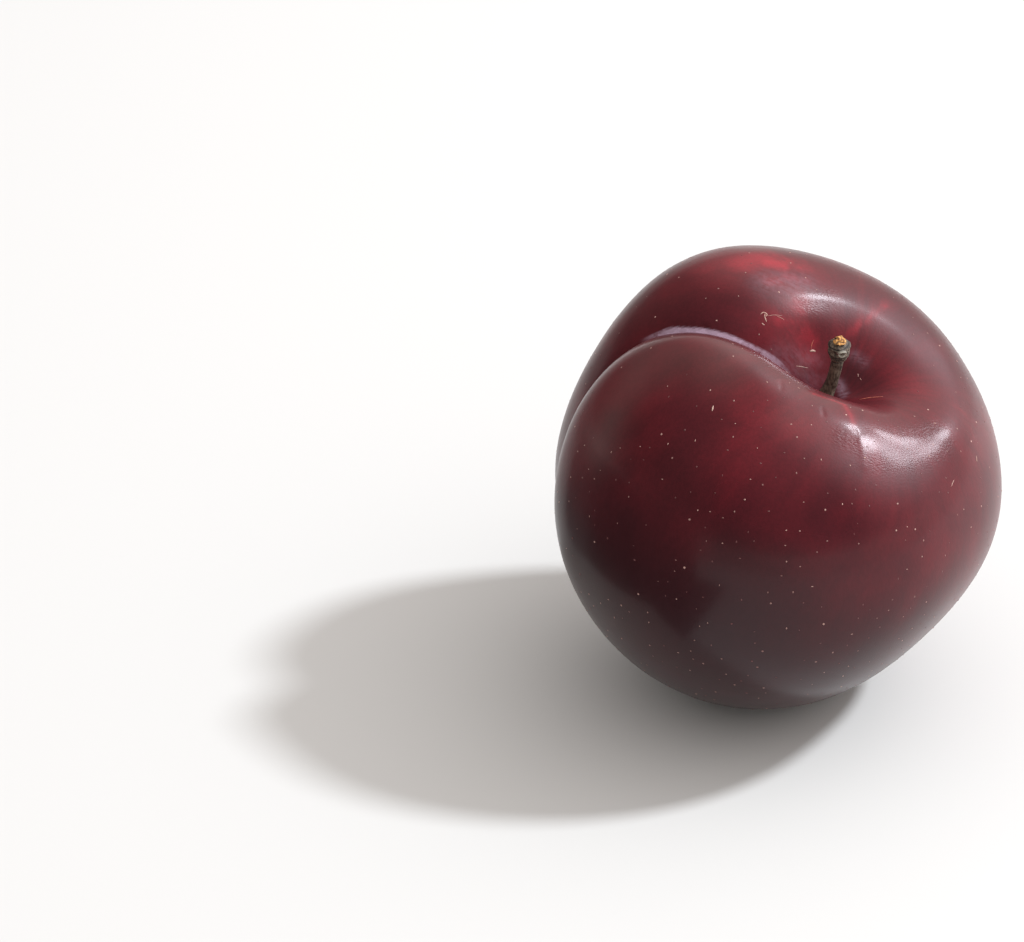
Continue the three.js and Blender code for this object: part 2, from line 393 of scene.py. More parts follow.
# Fine ridges and puckers of the skin: (name, pixels, radius, height).
FOLDS = [
    ("rib down from the highlight", [(860, 436), (862, 448), (864, 466)], 0.55 * MM, 0.035 * MM),
    ("pucker near the rim", [(822, 408), (824, 415)], 0.22 * MM, -0.06 * MM),
    ("second pucker", [(781, 381), (782, 389)], 0.22 * MM, -0.05 * MM),
    ("third pucker", [(854, 428), (857, 434)], 0.25 * MM, -0.03 * MM),
    ("nick in the groove's bloom", [(703, 326), (707, 331)], 0.35 * MM, -0.10 * MM),
]

# Healed marks of the skin: (name, pixels, width, height, rawness from tan to orange).
MARKS = [
    (
        "curl",
        [(760.5, 314.5), (762.5, 312.3), (765.5, 312.7), (767.5, 315), (765.5, 316.4)],
        0.16 * MM,
        0.06 * MM,
        0.15,
    ),
    (
        "curl's stalk",
        [(765, 313.5), (764.6, 316.4), (765.5, 319.2), (766.6, 322)],
        0.17 * MM,
        0.06 * MM,
        0.15,
    ),
    ("bit under the curl", [(761.6, 323), (764.4, 325.2)], 0.15 * MM, 0.05 * MM, 0.1),
    ("curl's tail", [(768, 315.6), (775, 314.9), (782, 315.6)], 0.07 * MM, 0.03 * MM, 0.1),
    ("second tail", [(777, 316.2), (780.5, 317.6), (784, 319.8)], 0.07 * MM, 0.03 * MM, 0.1),
    ("white nick", [(713.3, 405.8), (712.6, 408.3), (712.2, 411)], 0.22 * MM, 0.08 * MM, 0.0),
    ("scratch on the right", [(954, 479.8), (952.6, 483), (951.2, 486.6)], 0.10 * MM, 0.04 * MM, 0.1),
    ("tick on the right", [(976.4, 455.8), (976.8, 461.4)], 0.13 * MM, 0.05 * MM, 0.1),
    ("scratch left of the stem", [(796, 366), (801, 366.6), (808, 368)], 0.09 * MM, 0.04 * MM, 0.1),
    ("mark in the cavity", [(858, 373.5), (858.2, 377)], 0.12 * MM, 0.04 * MM, 0.3),
    ("second mark in the cavity", [(860, 378), (861.2, 380)], 0.10 * MM, 0.04 * MM, 0.3),
    (
        "pale spot on the far wall",
        [(810, 351.2), (812.5, 350.6), (815.5, 351.4)],
        0.30 * MM,
        0.06 * MM,
        0.12,
    ),
    ("red line by the pale spot", [(813.5, 340), (811.5, 345), (811, 350)], 0.12 * MM, 0.04 * MM, 0.9),
    (
        "crack in the near rim",
        [(859, 399.6), (866, 398.2), (874, 397.2), (883, 396.6)],
        0.19 * MM,
        0.05 * MM,
        0.85,
    ),
]

# The bloom along the far wall of the suture: how far it reaches from the crease, where it ends, and how it
# thins out towards the cavity. The angles are from the stem.
GROOVE_BLOOM_REACH = 1.0 * MM
GROOVE_BLOOM_EDGE = 0.25 * MM
GROOVE_BLOOM_TO = 1.15
GROOVE_BLOOM_ANGLES = [0.15, 0.30, 0.45, 0.60]
GROOVE_BLOOM_SHARES = [0.0, 0.35, 0.6, 1.0]
GROOVE_BLOOM_STRENGTH = 1.0
GROOVE_BLOOM_WANDER = 0.25
GROOVE_BLOOM_WAVES = 6
GROOVE_BLOOM_NOISE_PLACE = (0.5, 3.1)
GROOVE_BLOOM_THINNING = 0.3
GROOVE_BLOOM_FADE = 0.2
GROOVE_BLOOM_PAST = 2 * MM
BRUSHED_STRETCH = 0.12

# No lenticels grow this near the cavity's middle, in the groove's bloom or by the floor. They are sparser
# away from one side. Each has a size and a paleness between two limits, of the largest and of the palest.
CLEAR_RADIUS = 9 * MM
CLEAR_EDGE = 3 * MM
DENSE_TOWARDS = (0.35, -0.6, -0.6)
DENSE_SHIFT = 0.6
SPARSE_SHARE = 0.45
LENTICEL_LEAST = (0.35, 0.35, 0.15)
LENTICEL_MOST = (1.0, 1.0, 0.30)
LENTICEL_DIMMEST = -0.3
LENTICEL_PALEST = 0.9
PALENESS_SEED = 7

# Painted shade: darker patches of the skin in the cavity, on the far wall, at the front and low down, in the same form
# as the red ones.
SHADE_PATCHES = [
    ("front", [(762, 506), (800, 514), (838, 522)], 4.0 * MM, 0.36),
    ("left of the front", [(650, 560), (668, 600)], 4.0 * MM, 0.5),
    ("cavity right of the stem", [(850, 372), (866, 384)], 2.4 * MM, 0.5),
    ("cavity left of the stem", [(780, 360), (812, 378)], 1.8 * MM, 0.32),
    ("far wall", [(792, 326), (812, 346)], 2.4 * MM, 0.28),
    ("low on the right", [(868, 560), (905, 560)], 5.0 * MM, 0.28),
]

# Painted shade: the skin is darkened on its side towards the lower front left, away from the lights.
SHADE_TOWARDS = (-0.38, -0.45, -0.80)
SHADE_FROM = 0.0
SHADE_TO = 0.75

# Scales of the patterns in the materials: the larger, the finer.
CLOUD_SCALE = 70
FLECK_SCALE = 620
STREAK_SCALE = 7
SPECKLE_SCALE = 2400
SPECKLE_STRETCH = (1.0, 1.0, 0.4)
BLOTCH_SCALE = 1400
BRUSHED_SCALE = 2600
HAZE_SCALE = 45
GRAIN_SCALE = 4000
COMBED_SCALE = 4600
COMBED_STRETCH = (0.2, 1.0, 1.0)
BARK_STRAND_SCALE = 4500
BARK_STRAND_STRETCH = (1.0, 1.0, 0.2)
BARK_BLOTCH_SCALE = 1500
FIBRE_SCALE = 3200
CRUST_SCALE = 4000

# How rough every pattern is, how much each part of the skin's mottling weighs, and the part of each
# pattern over which it passes from its least to its most.
PATTERN_ROUGHNESS = 0.55
MOTTLE_WEIGHTS = (0.62, 0.32, 0.06)
BREAK_WEIGHTS = (0.5, 0.2, 0.3)
MOTTLE_EDGES = (0.38, 0.68)
BREAK_EDGES = (0.35, 0.6)
BREAK_LEAST = 0.45
VIVID_EDGES = (0.3, 1.1)
SPECKLE_EDGES = (0.35, 0.65)
SPECKLE_SHADES = (0.93, 1.05)
PATCHY_EDGES = (0.36, 0.60)
PATCHY_LEAST = 0.25
EVEN_EDGES = (0.5, 0.9)
EVEN_SHARE = 0.78
HAZE_EDGES = (0.3, 0.7)
HAZE_LEAST = 0.5
BARK_EDGES = (0.36, 0.62)
FIBRE_EDGES = (0.35, 0.6)
CRUST_EDGES = (0.3, 0.6)
CRUST_LEAST = 0.6

# How rough the bark, its scar, the lenticels and the marks are.
BARK_DULLNESS = 0.72
SCAR_DULLNESS = 0.38
LENTICEL_DULLNESS = 0.6
MARK_DULLNESS = 0.55

# The skin's gloss, and its relief, of grain and of combed wax.
SKIN_IOR = 1.29
COAT_WEIGHT = 0.42
COAT_ROUGHNESS = 0.17
COAT_IOR = 1.35
BLOOM_ROUGHNESS = 0.75
THICK_COVER = 0.8
GRAIN_SHARE = 0.35
COMBED_SHARE = 3.8
RELIEF_STRENGTH = 0.3
BARK_RELIEF_STRENGTH = 0.6
RELIEF_DEPTH = 0.1 * MM


def smooth(t):
    """An S-shaped step from 0 to 1."""
    t = np.clip(t, 0, 1)
    return t * t * (3 - 2 * t)


def bell(distance, radius):
    """A soft peak of 1 at no distance that is nearly gone at twice the radius."""
    return np.exp(-((distance / radius) ** 2))


# The fruit's shape.


def swelling(directions):
    """The height that the swellings add in each direction."""
    height = 0
    for _, towards, spread, tallest in SWELLINGS:
        towards = np.array(towards) / np.linalg.norm(towards)
        height = height + tallest * np.exp(2 * (directions @ towards - 1) / spread**2)
    return height


def suture_fade(from_stem):
    """How fully the suture is formed at an angle from the stem."""
    return bell(np.maximum(from_stem - SUTURE_FULL_TO, 0), SUTURE_FADE)


def suture_middle(from_stem):
    """How far the suture's middle lies from the fruit's middle plane, at an angle from the stem."""
    back = FLANK_SWAY * smooth((from_stem - FLANK_SWAY_FROM) / FLANK_SWAY_OVER)
    return back - SWAY * bell(from_stem - SWAY_FROM_STEM, SWAY_SPREAD)


def suture_depth(from_stem, beside):
    """How deep the suture cuts at an angle from the stem and a distance beside its middle."""
    fade = suture_fade(from_stem)
    valley = (VALLEY_END_DEPTH + (VALLEY_DEPTH - VALLEY_END_DEPTH) * fade) * bell(beside, VALLEY_RADIUS)
    height = LOBE_HEIGHT * fade * (1 + LOBE_GROWTH * (from_stem - KNUCKLE_FROM_STEM))
    height = height + KNUCKLE_HEIGHT * bell(from_stem - KNUCKLE_FROM_STEM, KNUCKLE_SPREAD)
    lobe = height * bell(beside - LOBE_FROM_SUTURE, LOBE_RADIUS)
    width = np.where(beside > 0, CREASE_NEAR_WIDTH, CREASE_FAR_WIDTH)
    crease = (CREASE_END_DEPTH + (CREASE_DEPTH - CREASE_END_DEPTH) * fade) / (1 + (beside / width) ** 2)
    return valley - lobe + crease


def body_points(from_stem, round_stem):
    """The plain body under the skin: a direction and a point for each pair of angles."""
    directions = np.stack(
        [
            np.sin(from_stem) * np.cos(round_stem),
            np.sin(from_stem) * np.sin(round_stem),
            np.cos(from_stem),
        ],
        axis=-1,
    )
    rise = directions[..., 2]
    full = HALF_WIDTH * (1 + SHOULDER_SHARE * rise)
    height = np.where(rise > 0, STEM_END_HEIGHT, BLOSSOM_END_HEIGHT)
    return directions, directions * np.stack([full, full * CHEEK_SHARE, height], axis=-1)


def skin_points(from_stem, round_stem):
    """The skin's points in the fruit's own frame, at angles from the stem and round it from the suture."""
    directions, points = body_points(from_stem, round_stem)
    rise = directions[..., 2]
    on_suture_side = smooth(points[..., 0] / SUTURE_START + SUTURE_START_SHARE)
    beside = points[..., 1] - suture_middle(from_stem)
    grown = swelling(directions) - suture_depth(from_stem, beside) * on_suture_side
    points = points + directions * grown[..., None]
    from_middle = np.hypot(points[..., 0] - CAVITY_TO_SUTURE, points[..., 1] + CAVITY_TO_FAR)
    cavity = DIP_DEPTH * bell(from_middle, DIP_RADIUS) + FUNNEL_DEPTH * bell(from_middle, FUNNEL_RADIUS)
    dimple = BLOSSOM_DIMPLE_DEPTH * bell(np.hypot(points[..., 0], points[..., 1]), BLOSSOM_DIMPLE_RADIUS)
    points[..., 2] += dimple * smooth(-END_SHARPNESS * rise) - cavity * smooth(END_SHARPNESS * rise)
    return points


def stem_place():
    """Where the stem stands on the cavity's floor, in the fruit's own frame."""
    height = skin_points(np.array(0.0), np.array(0.0))[2]
    return Vector((STEM_TO_SUTURE, -CAVITY_TO_FAR, height))


def lying_pose():
    """The way from the fruit's own frame to how it lies in the CAD box of the fruit."""
    leaning = Matrix.Rotation(LEAN_TOWARDS, 4, "Z") @ Matrix.Rotation(LEAN, 4, "Y")
    turn = leaning @ Matrix.Rotation(TURN, 4, "Z")
    half_turn = np.linspace(0, math.pi, LEAN_SAMPLES)
    full_turn = np.linspace(-math.pi, math.pi, 2 * LEAN_SAMPLES - 1)
    from_stem, round_stem = np.meshgrid(half_turn, full_turn)
    leant = skin_points(from_stem.ravel(), round_stem.ravel()) @ np.array(turn.to_3x3()).T
    middle = (leant.min(axis=0) + leant.max(axis=0)) / 2
    low, high = FRUIT_BOX
    shift = Vector(((low.x + high.x) / 2 - middle[0], (low.y + high.y) / 2 - middle[1], 0))
    shift.z = low.z - FLAT_DEPTH - leant[:, 2].min()
    return Matrix.Translation(shift) @ turn


def press_flat(heights):
    """The heights with all that would lie under the surface pressed up to it, round at the edge."""
    pressed = (heights + np.hypot(heights, FLAT_ROUNDING)) / 2
    return pressed - pressed.min()


def grid_faces(rows, columns):
    """Quads of a grid that closes on itself across its columns, as indices of its points."""
    faces = []
    for row in range(rows - 1):
        for column in range(columns):
            here = row * columns + column
            beside = row * columns + (column + 1) % columns
            faces.append((here, here + columns, beside + columns, beside))
    return faces


def new_piece(name, points, faces, material):
    """A smooth-shaded mesh object with its place in its mesh."""
    mesh = bpy.data.meshes.new(name)
    mesh.from_pydata([tuple(p) for p in points], [], faces)
    mesh.validate()
    mesh.shade_smooth()
    mesh.materials.append(material)
    piece = bpy.data.objects.new(name, mesh)
    bpy.context.scene.collection.objects.link(piece)
    return piece


def paint(piece, name, values):
    """Stores one number for each point of a piece."""
    layer = piece.data.attributes.new(name, "FLOAT", "POINT")
    layer.data.foreach_set("value", np.asarray(values, np.float32).ravel())


def paint_vector(piece, name, vectors):
    """Stores one vector for each point of a piece."""
    layer = piece.data.attributes.new(name, "FLOAT_VECTOR", "POINT")
    layer.data.foreach_set("vector", np.asarray(vectors, np.float32).ravel())


# From the photo's pixels to the skin.


def pixel_ray(pixel):
    """The direction from the camera through a pixel of the photo."""
    focal = CAMERA_LENS / SENSOR_WIDTH * IMAGE_WIDTH
    across = (pixel[0] - IMAGE_WIDTH / 2) / focal
    above = (IMAGE_HEIGHT / 2 - pixel[1]) / focal
    right = Vector((1, 0, 0))
    ahead = Vector((0, math.cos(CAMERA_DOWN), -math.sin(CAMERA_DOWN)))
    up = right.cross(ahead)
    return (ahead + right * across + up * above).normalized()


def on_skin(skin_tree, pixel):
    """The skin's point and normal that show at a pixel of the photo."""
    place, normal, _, _ = skin_tree.ray_cast(CAMERA_PLACE, pixel_ray(pixel))
    if place is None:
        raise RuntimeError(f"no skin shows at pixel {pixel}")
    return place, normal


def from_line(points, line):
    """The distance of each point from a line through some places."""
    nearest = np.full(len(points), np.inf)
    for start, end in zip(line, line[1:]):
        start = np.array(start)
        along = np.array(end) - start
        share = np.clip((points - start) @ along / (along @ along), 0, 1)
        nearest = np.minimum(nearest, np.linalg.norm(points - start - share[:, None] * along, axis=1))
    return nearest


def patch_strength(points, skin_tree, patches):
    """How strongly any of some patches colours each point."""
    strength = np.zeros(len(points))
    for _, pixels, radius, strongest in patches:
        line = [on_skin(skin_tree, pixel)[0] for pixel in pixels]
        strength = np.maximum(strength, strongest * bell(from_line(points, line), radius))
    return strength


# Materials.


def add_node(tree, kind, inputs=None, **settings):
    """A node with its settings, and each input a constant or another node's output."""
    made = tree.nodes.new(kind)
    for name, value in settings.items():
        setattr(made, name, value)
    for name, value in (inputs or {}).items():
        if isinstance(value, bpy.types.NodeSocket):
            tree.links.new(value, made.inputs[name])
        else:
            made.inputs[name].default_value = value
    return made


def calculate(tree, operation, first, second=0.0, clamp=False):
    """One sum or other operation on two numbers or outputs."""
    made = add_node(tree, "ShaderNodeMath", {0: first, 1: second}, operation=operation, use_clamp=clamp)
    return made.outputs[0]


def weigh(tree, parts):
    """The sum of some outputs, each times its weight."""
    total = 0.0
    for output, weight in parts:
        total = calculate(tree, "ADD", total, calculate(tree, "MULTIPLY", output, weight))
    return total


def blend_colours(tree, share, under, over, blend_type="MIX"):
    """One colour over another: share is a number or an output, and so are the colours."""
    given = {0: share, 6: under, 7: over}
    made = add_node(tree, "ShaderNodeMix", given, data_type="RGBA", blend_type=blend_type)
    return made.outputs[2]


def ramp_between(tree, value, low, high, out_low=0.0, out_high=1.0):
    """A smooth step of a value from low to high."""
    made = add_node(
        tree,
        "ShaderNodeMapRange",
        {"Value": value, "From Min": low, "From Max": high, "To Min": out_low, "To Max": out_high},
        interpolation_type="SMOOTHSTEP",
    )
    return made.outputs[0]


def stretched(tree, place, shares):
    """Places squeezed along some axes, which draws a pattern on them out along those axes."""
    made = add_node(tree, "ShaderNodeVectorMath", {0: place, 1: shares}, operation="MULTIPLY")
    return made.outputs[0]


def cloud(tree, vector, scale, detail=3.0):
    """Soft noise over some places."""
    given = {"Vector": vector, "Scale": scale, "Detail": detail, "Roughness": PATTERN_ROUGHNESS}
    return add_node(tree, "ShaderNodeTexNoise", given).outputs[0]


def painted(tree, name):
    """The output of a painted number."""
    return add_node(tree, "ShaderNodeAttribute", attribute_name=name).outputs["Fac"]


def painted_vector(tree, name):
    """The output of a painted vector."""
    return add_node(tree, "ShaderNodeAttribute", attribute_name=name).outputs["Vector"]


def new_material(name):
    """A material with only a Principled BSDF and its output."""
    material = bpy.data.materials.new(name)
    material.use_nodes = True
    return material, material.node_tree, material.node_tree.nodes["Principled BSDF"]


def add_relief(tree, shader, height, strength):
    """Fine relief that only the light sees."""
    given = {"Strength": strength, "Distance": RELIEF_DEPTH, "Height": height}
    bump = add_node(tree, "ShaderNodeBump", given)
    tree.links.new(bump.outputs["Normal"], shader.inputs["Normal"])


def skin_material(settings):
    """Dark purple-red skin: mottled, streaked away from the stem, with haze, bloom and a thin wax, and with painted
    shade on its lower side and painted sheen on its lobes, its edges and beside its highlights.
    """
    material, tree, shader = new_material("plum_skin")
    place = add_node(tree, "ShaderNodeTexCoord").outputs["Object"]
    way = painted_vector(tree, "way")

    clouds = cloud(tree, place, CLOUD_SCALE, detail=2)
    flecks = cloud(tree, place, FLECK_SCALE)
    streaks = cloud(tree, way, STREAK_SCALE)
    mottle = weigh(tree, zip((clouds, streaks, flecks), MOTTLE_WEIGHTS))
    redness = ramp_between(tree, mottle, *MOTTLE_EDGES, 0.0, settings.mottling)
    breaks = weigh(tree, zip((clouds, flecks, streaks), BREAK_WEIGHTS))
    broken = ramp_between(tree, breaks, *BREAK_EDGES, BREAK_LEAST, 1.0)
    blush = calculate(tree, "MULTIPLY", painted(tree, "blush"), broken)
    redness = calculate(tree, "ADD", redness, blush, clamp=True)
    skin = blend_colours(tree, redness, (*settings.deep_colour, 1), (*settings.red_colour, 1))
    vivid = ramp_between(tree, blush, *VIVID_EDGES)
    skin = blend_colours(tree, vivid, skin, (*settings.blush_colour, 1))
    specks = cloud(tree, stretched(tree, place, SPECKLE_STRETCH), SPECKLE_SCALE, detail=2)
    speckle = ramp_between(tree, specks, *SPECKLE_EDGES, *SPECKLE_SHADES)
    skin = blend_colours(tree, 1.0, skin, speckle, blend_type="MULTIPLY")
    # Painted shade: the skin darkens on its lower side and in the shade patches.
    shade = calculate(tree, "MULTIPLY", painted(tree, "painted_shade"), settings.painted_shade_strength)
    skin = blend_colours(tree, shade, skin, (*settings.painted_shade_colour, 1))

    blotches = cloud(tree, place, BLOTCH_SCALE, detail=4)
    brushed = cloud(tree, painted_vector(tree, "groove_way"), BRUSHED_SCALE)
    mixed = weigh(tree, [(blotches, 0.5), (brushed, 0.5)])
    patchy = ramp_between(tree, mixed, *PATCHY_EDGES, PATCHY_LEAST, 1.0)
    even = ramp_between(tree, painted(tree, "bloom"), *EVEN_EDGES)
    patchy = calculate(tree, "MAXIMUM", patchy, calculate(tree, "MULTIPLY", even, EVEN_SHARE))
    thick_wax = calculate(tree, "MULTIPLY", painted(tree, "bloom"), patchy)
    mist = cloud(tree, place, HAZE_SCALE, detail=2)
    haze = ramp_between(tree, mist, *HAZE_EDGES, HAZE_LEAST, 1.0)
    thin_wax = calculate(tree, "MULTIPLY", haze, settings.wax)
    # Partly haze and partly painted sheen: lighter tan-grey on the lobes' tops and edges and beside the highlights.
    haze_and_sheen = calculate(tree, "MULTIPLY", haze, painted(tree, "haze"))
    skin = blend_colours(tree, haze_and_sheen, skin, (*settings.haze_and_sheen_colour, 1))
    cover = calculate(tree, "ADD", thin_wax, thick_wax, clamp=True)
    colour = blend_colours(tree, cover, skin, (*settings.bloom_colour, 1))
    tree.links.new(colour, shader.inputs["Base Color"])

    gloss = ramp_between(tree, cover, 0.0, THICK_COVER, settings.gloss_roughness, BLOOM_ROUGHNESS)
    rubbed = calculate(tree, "MULTIPLY", painted(tree, "rubbed"), settings.rubbing)
    gloss = calculate(tree, "SUBTRACT", gloss, rubbed)
    tree.links.new(gloss, shader.inputs["Roughness"])
    shader.inputs["IOR"].default_value = SKIN_IOR
    shader.inputs["Coat Weight"].default_value = COAT_WEIGHT
    shader.inputs["Coat Roughness"].default_value = COAT_ROUGHNESS
    shader.inputs["Coat IOR"].default_value = COAT_IOR

    grain = cloud(tree, place, GRAIN_SCALE, detail=2)
    combed = cloud(tree, stretched(tree, place, COMBED_STRETCH), COMBED_SCALE, detail=1)
    combed = calculate(tree, "MULTIPLY", combed, painted(tree, "combed"))
    add_relief(tree, shader, weigh(tree, [(grain, GRAIN_SHARE), (combed, COMBED_SHARE)]), RELIEF_STRENGTH)
    return material


def stem_material(settings):
    """Dry grey-brown bark with a pale scar and raw orange wood at the broken tip, and painted shade in the knob's
    creases and the tip's hollows.
    """
    material, tree, shader = new_material("plum_stem")
    place = add_node(tree, "ShaderNodeTexCoord").outputs["Object"]
    strands = cloud(tree, stretched(tree, place, BARK_STRAND_STRETCH), BARK_STRAND_SCALE)
    blotches = cloud(tree, place, BARK_BLOTCH_SCALE, detail=4)
    tone = ramp_between(tree, weigh(tree, [(strands, 0.5), (blotches, 0.5)]), *BARK_EDGES)
    bark = blend_colours(tree, tone, (*settings.bark_dark, 1), (*settings.bark_pale, 1))
    # Painted shade in the knob's creases.
    bark = blend_colours(tree, painted(tree, "crease"), bark, (*settings.crease_shade_colour, 1))
    bark = blend_colours(tree, painted(tree, "scar"), bark, (*settings.scar_colour, 1))
    fibres = ramp_between(tree, cloud(tree, place, FIBRE_SCALE), *FIBRE_EDGES)
    wood = blend_colours(tree, fibres, (*settings.wood_dark, 1), (*settings.wood_colour, 1))
    # Painted shade in the hollows of the broken wood.
    wood = blend_colours(tree, painted(tree, "hollow"), wood, (*settings.crease_shade_colour, 1))
    colour = blend_colours(tree, painted(tree, "tip"), bark, wood)
    tree.links.new(colour, shader.inputs["Base Color"])
    worn = ramp_between(tree, painted(tree, "scar"), 0.0, 1.0, BARK_DULLNESS, SCAR_DULLNESS)
    tree.links.new(worn, shader.inputs["Roughness"])
    add_relief(tree, shader, strands, BARK_RELIEF_STRENGTH)
    return material


def lenticel_material(settings):
    """Pale corky dots, some hardly paler than the skin."""
    material, tree, shader = new_material("plum_lenticel")
    paleness = painted(tree, "paleness")
    colour = blend_colours(tree, paleness, (*settings.dim_colour, 1), (*settings.colour, 1))
    tree.links.new(colour, shader.inputs["Base Color"])
    shader.inputs["Roughness"].default_value = LENTICEL_DULLNESS
    return material


def mark_material(settings):
    """Healed skin: tan, or orange where it is raw."""
    material, tree, shader = new_material("plum_mark")
    raw = painted(tree, "raw")
    colour = blend_colours(tree, raw, (*settings.healed_colour, 1), (*settings.raw_colour, 1))
    place = add_node(tree, "ShaderNodeTexCoord").outputs["Object"]
    crumbs = cloud(tree, place, CRUST_SCALE, detail=2)
    crust = ramp_between(tree, crumbs, *CRUST_EDGES, CRUST_LEAST, 1.0)
    colour = blend_colours(tree, 1.0, colour, crust, blend_type="MULTIPLY")
    tree.links.new(colour, shader.inputs["Base Color"])
    shader.inputs["Roughness"].default_value = MARK_DULLNESS
    return material


def plain_material(name, colour, roughness):
    """One colour without any gloss."""
    material, _, shader = new_material(name)
    shader.inputs["Base Color"].default_value = (*colour, 1)
    shader.inputs["Roughness"].default_value = roughness
    shader.inputs["Specular IOR Level"].default_value = 0
    return material


# Settings: the kinds of them, and a group of them for each operator.


def colour_setting(name, description, default):
    return FloatVectorProperty(name=name, description=description, subtype="COLOR", size=3, default=default)


def share_setting(name, description, default):
    """A share that slides from 0 to 1."""
    limits = {"min": 0, "soft_max": 1}
    return FloatProperty(name=name, description=description, default=default, subtype="FACTOR", **limits)


def length_setting(name, description, default):
    return FloatProperty(name=name, description=description, default=default, unit="LENGTH")


def angle_setting(name, description, degrees):
    return FloatProperty(name=name, description=description, default=math.radians(degrees), subtype="ANGLE")


def power_setting(name, description, default):
    return FloatProperty(name=name, description=description, default=default, unit="POWER")


class PlumFruitSettings(bpy.types.PropertyGroup):
    columns: IntProperty(name="Columns", description="Of faces round the fruit", default=380, min=60)
    rows: IntProperty(name="Rows", description="Of faces from the stem to the blossom", default=250, min=40)
    deep_colour: colour_setting("Deep colour", "The darkest of the skin", (0.070, 0.0055, 0.0095))
    red_colour: colour_setting("Red colour", "The redder skin", (0.158, 0.0078, 0.0145))
    blush_colour: colour_setting("Blush colour", "The reddest patches", (0.33, 0.013, 0.025))
    # Partly painted sheen: this colour also paints the light on the lobes and edges and beside the highlights.
    haze_and_sheen_colour: colour_setting("Haze colour", "The thin haze on the lobes", (0.30, 0.27, 0.25))
    bloom_colour: colour_setting("Bloom colour", "The waxy bloom", (0.50, 0.37, 0.48))
    # Painted shade: the colour and strength of the darkening on the lower side and in the shade patches.
    painted_shade_colour: colour_setting("Dull colour", "Of the side away from the sun", (0.018, 0.005, 0.007))
    painted_shade_strength: share_setting("Dullness", "Of the side away from the sun", 0.85)
    mottling: share_setting("Mottling", "How much redder the redder skin is", 0.6)
    wax: share_setting("Wax", "How much the thin wax covers", 0.008)
    gloss_roughness: share_setting("Gloss roughness", "How blurred the bare skin's gloss is", 0.40)
    rubbing: share_setting("Rubbing", "How much sharper the gloss is where rubbed", 0.17)


class PlumLenticelSettings(bpy.types.PropertyGroup):
    spacing: length_setting("Spacing", "Least distance between two", 1.35 * MM)
    density: FloatProperty(name="Density", description="How many in a square metre", default=125000)
    radius: length_setting("Radius", "Of the largest", 0.17 * MM)
    seed: IntProperty(name="Seed", description="Of their places", default=4)
    colour: colour_setting("Colour", "The palest of them", (0.55, 0.33, 0.28))
    dim_colour: colour_setting("Dim colour", "The dimmest of them", (0.14, 0.045, 0.045))


class PlumMarkSettings(bpy.types.PropertyGroup):
    healed_colour: colour_setting("Healed colour", "Of dry marks", (0.55, 0.36, 0.30))
    raw_colour: colour_setting("Raw colour", "Of fresh cracks", (0.42, 0.07, 0.035))


class PlumStemSettings(bpy.types.PropertyGroup):
    sides: IntProperty(name="Sides", description="Faces round the stem", default=96, min=12)
    rings: IntProperty(name="Rings", description="Faces along the stem", default=220, min=20)
    bark_dark: colour_setting("Dark bark", "Bark in its hollows", (0.040, 0.028, 0.020))
    bark_pale: colour_setting("Pale bark", "Bark on its ridges", (0.185, 0.138, 0.100))
    # Painted shade: the colour of the knob's creases and of the tip's hollows.
    crease_shade_colour: colour_setting("Crease colour", "In the creases", (0.014, 0.010, 0.008))
    scar_colour: colour_setting("Scar colour", "Of the side stalk's scar", (0.36, 0.34, 0.28))
    wood_dark: colour_setting("Dark wood", "Broken wood in its hollows", (0.16, 0.055, 0.015))
    wood_colour: colour_setting("Broken wood", "Raw wood at the tip", (0.72, 0.36, 0.10))


class PlumStageSettings(bpy.types.PropertyGroup):
    floor_size: length_setting("Floor", "Width of the floor", 30.0)
    floor_colour: colour_setting("Floor colour", "Of the plain floor", (0.68, 0.68, 0.68))
    key_power: power_setting("Key light", "Power of the key light", 17.1)
    key_size: length_setting("Key size", "Width of the key light", 0.16)
    key_elevation: angle_setting("Key elevation", "Above the floor", 47)
    key_azimuth: angle_setting("Key azimuth", "From the right to the back", 9)
    gloss_power: power_setting("Gloss lights", "Power of the gloss lights together", 21.0)
    sky_strength: FloatProperty(name="Sky", description="Strength of the light from above", default=1.40)
    sky_colour: colour_setting("Sky colour", "Warm, as the shadows are", (1.0, 0.95, 0.91))
    horizon_share: share_setting("Horizon", "Light from the horizon, of the sky's", 0.4)
    dark_side_share: share_setting("Dark side", "Light from the left, of the right's", 0.45)
    gloss_sky_share: share_setting("Sky in the gloss", "Away from the window", 0.09)
    gloss_wall_share: share_setting("Wall in the gloss", "Just above the horizon", 1.6)


# Operators.


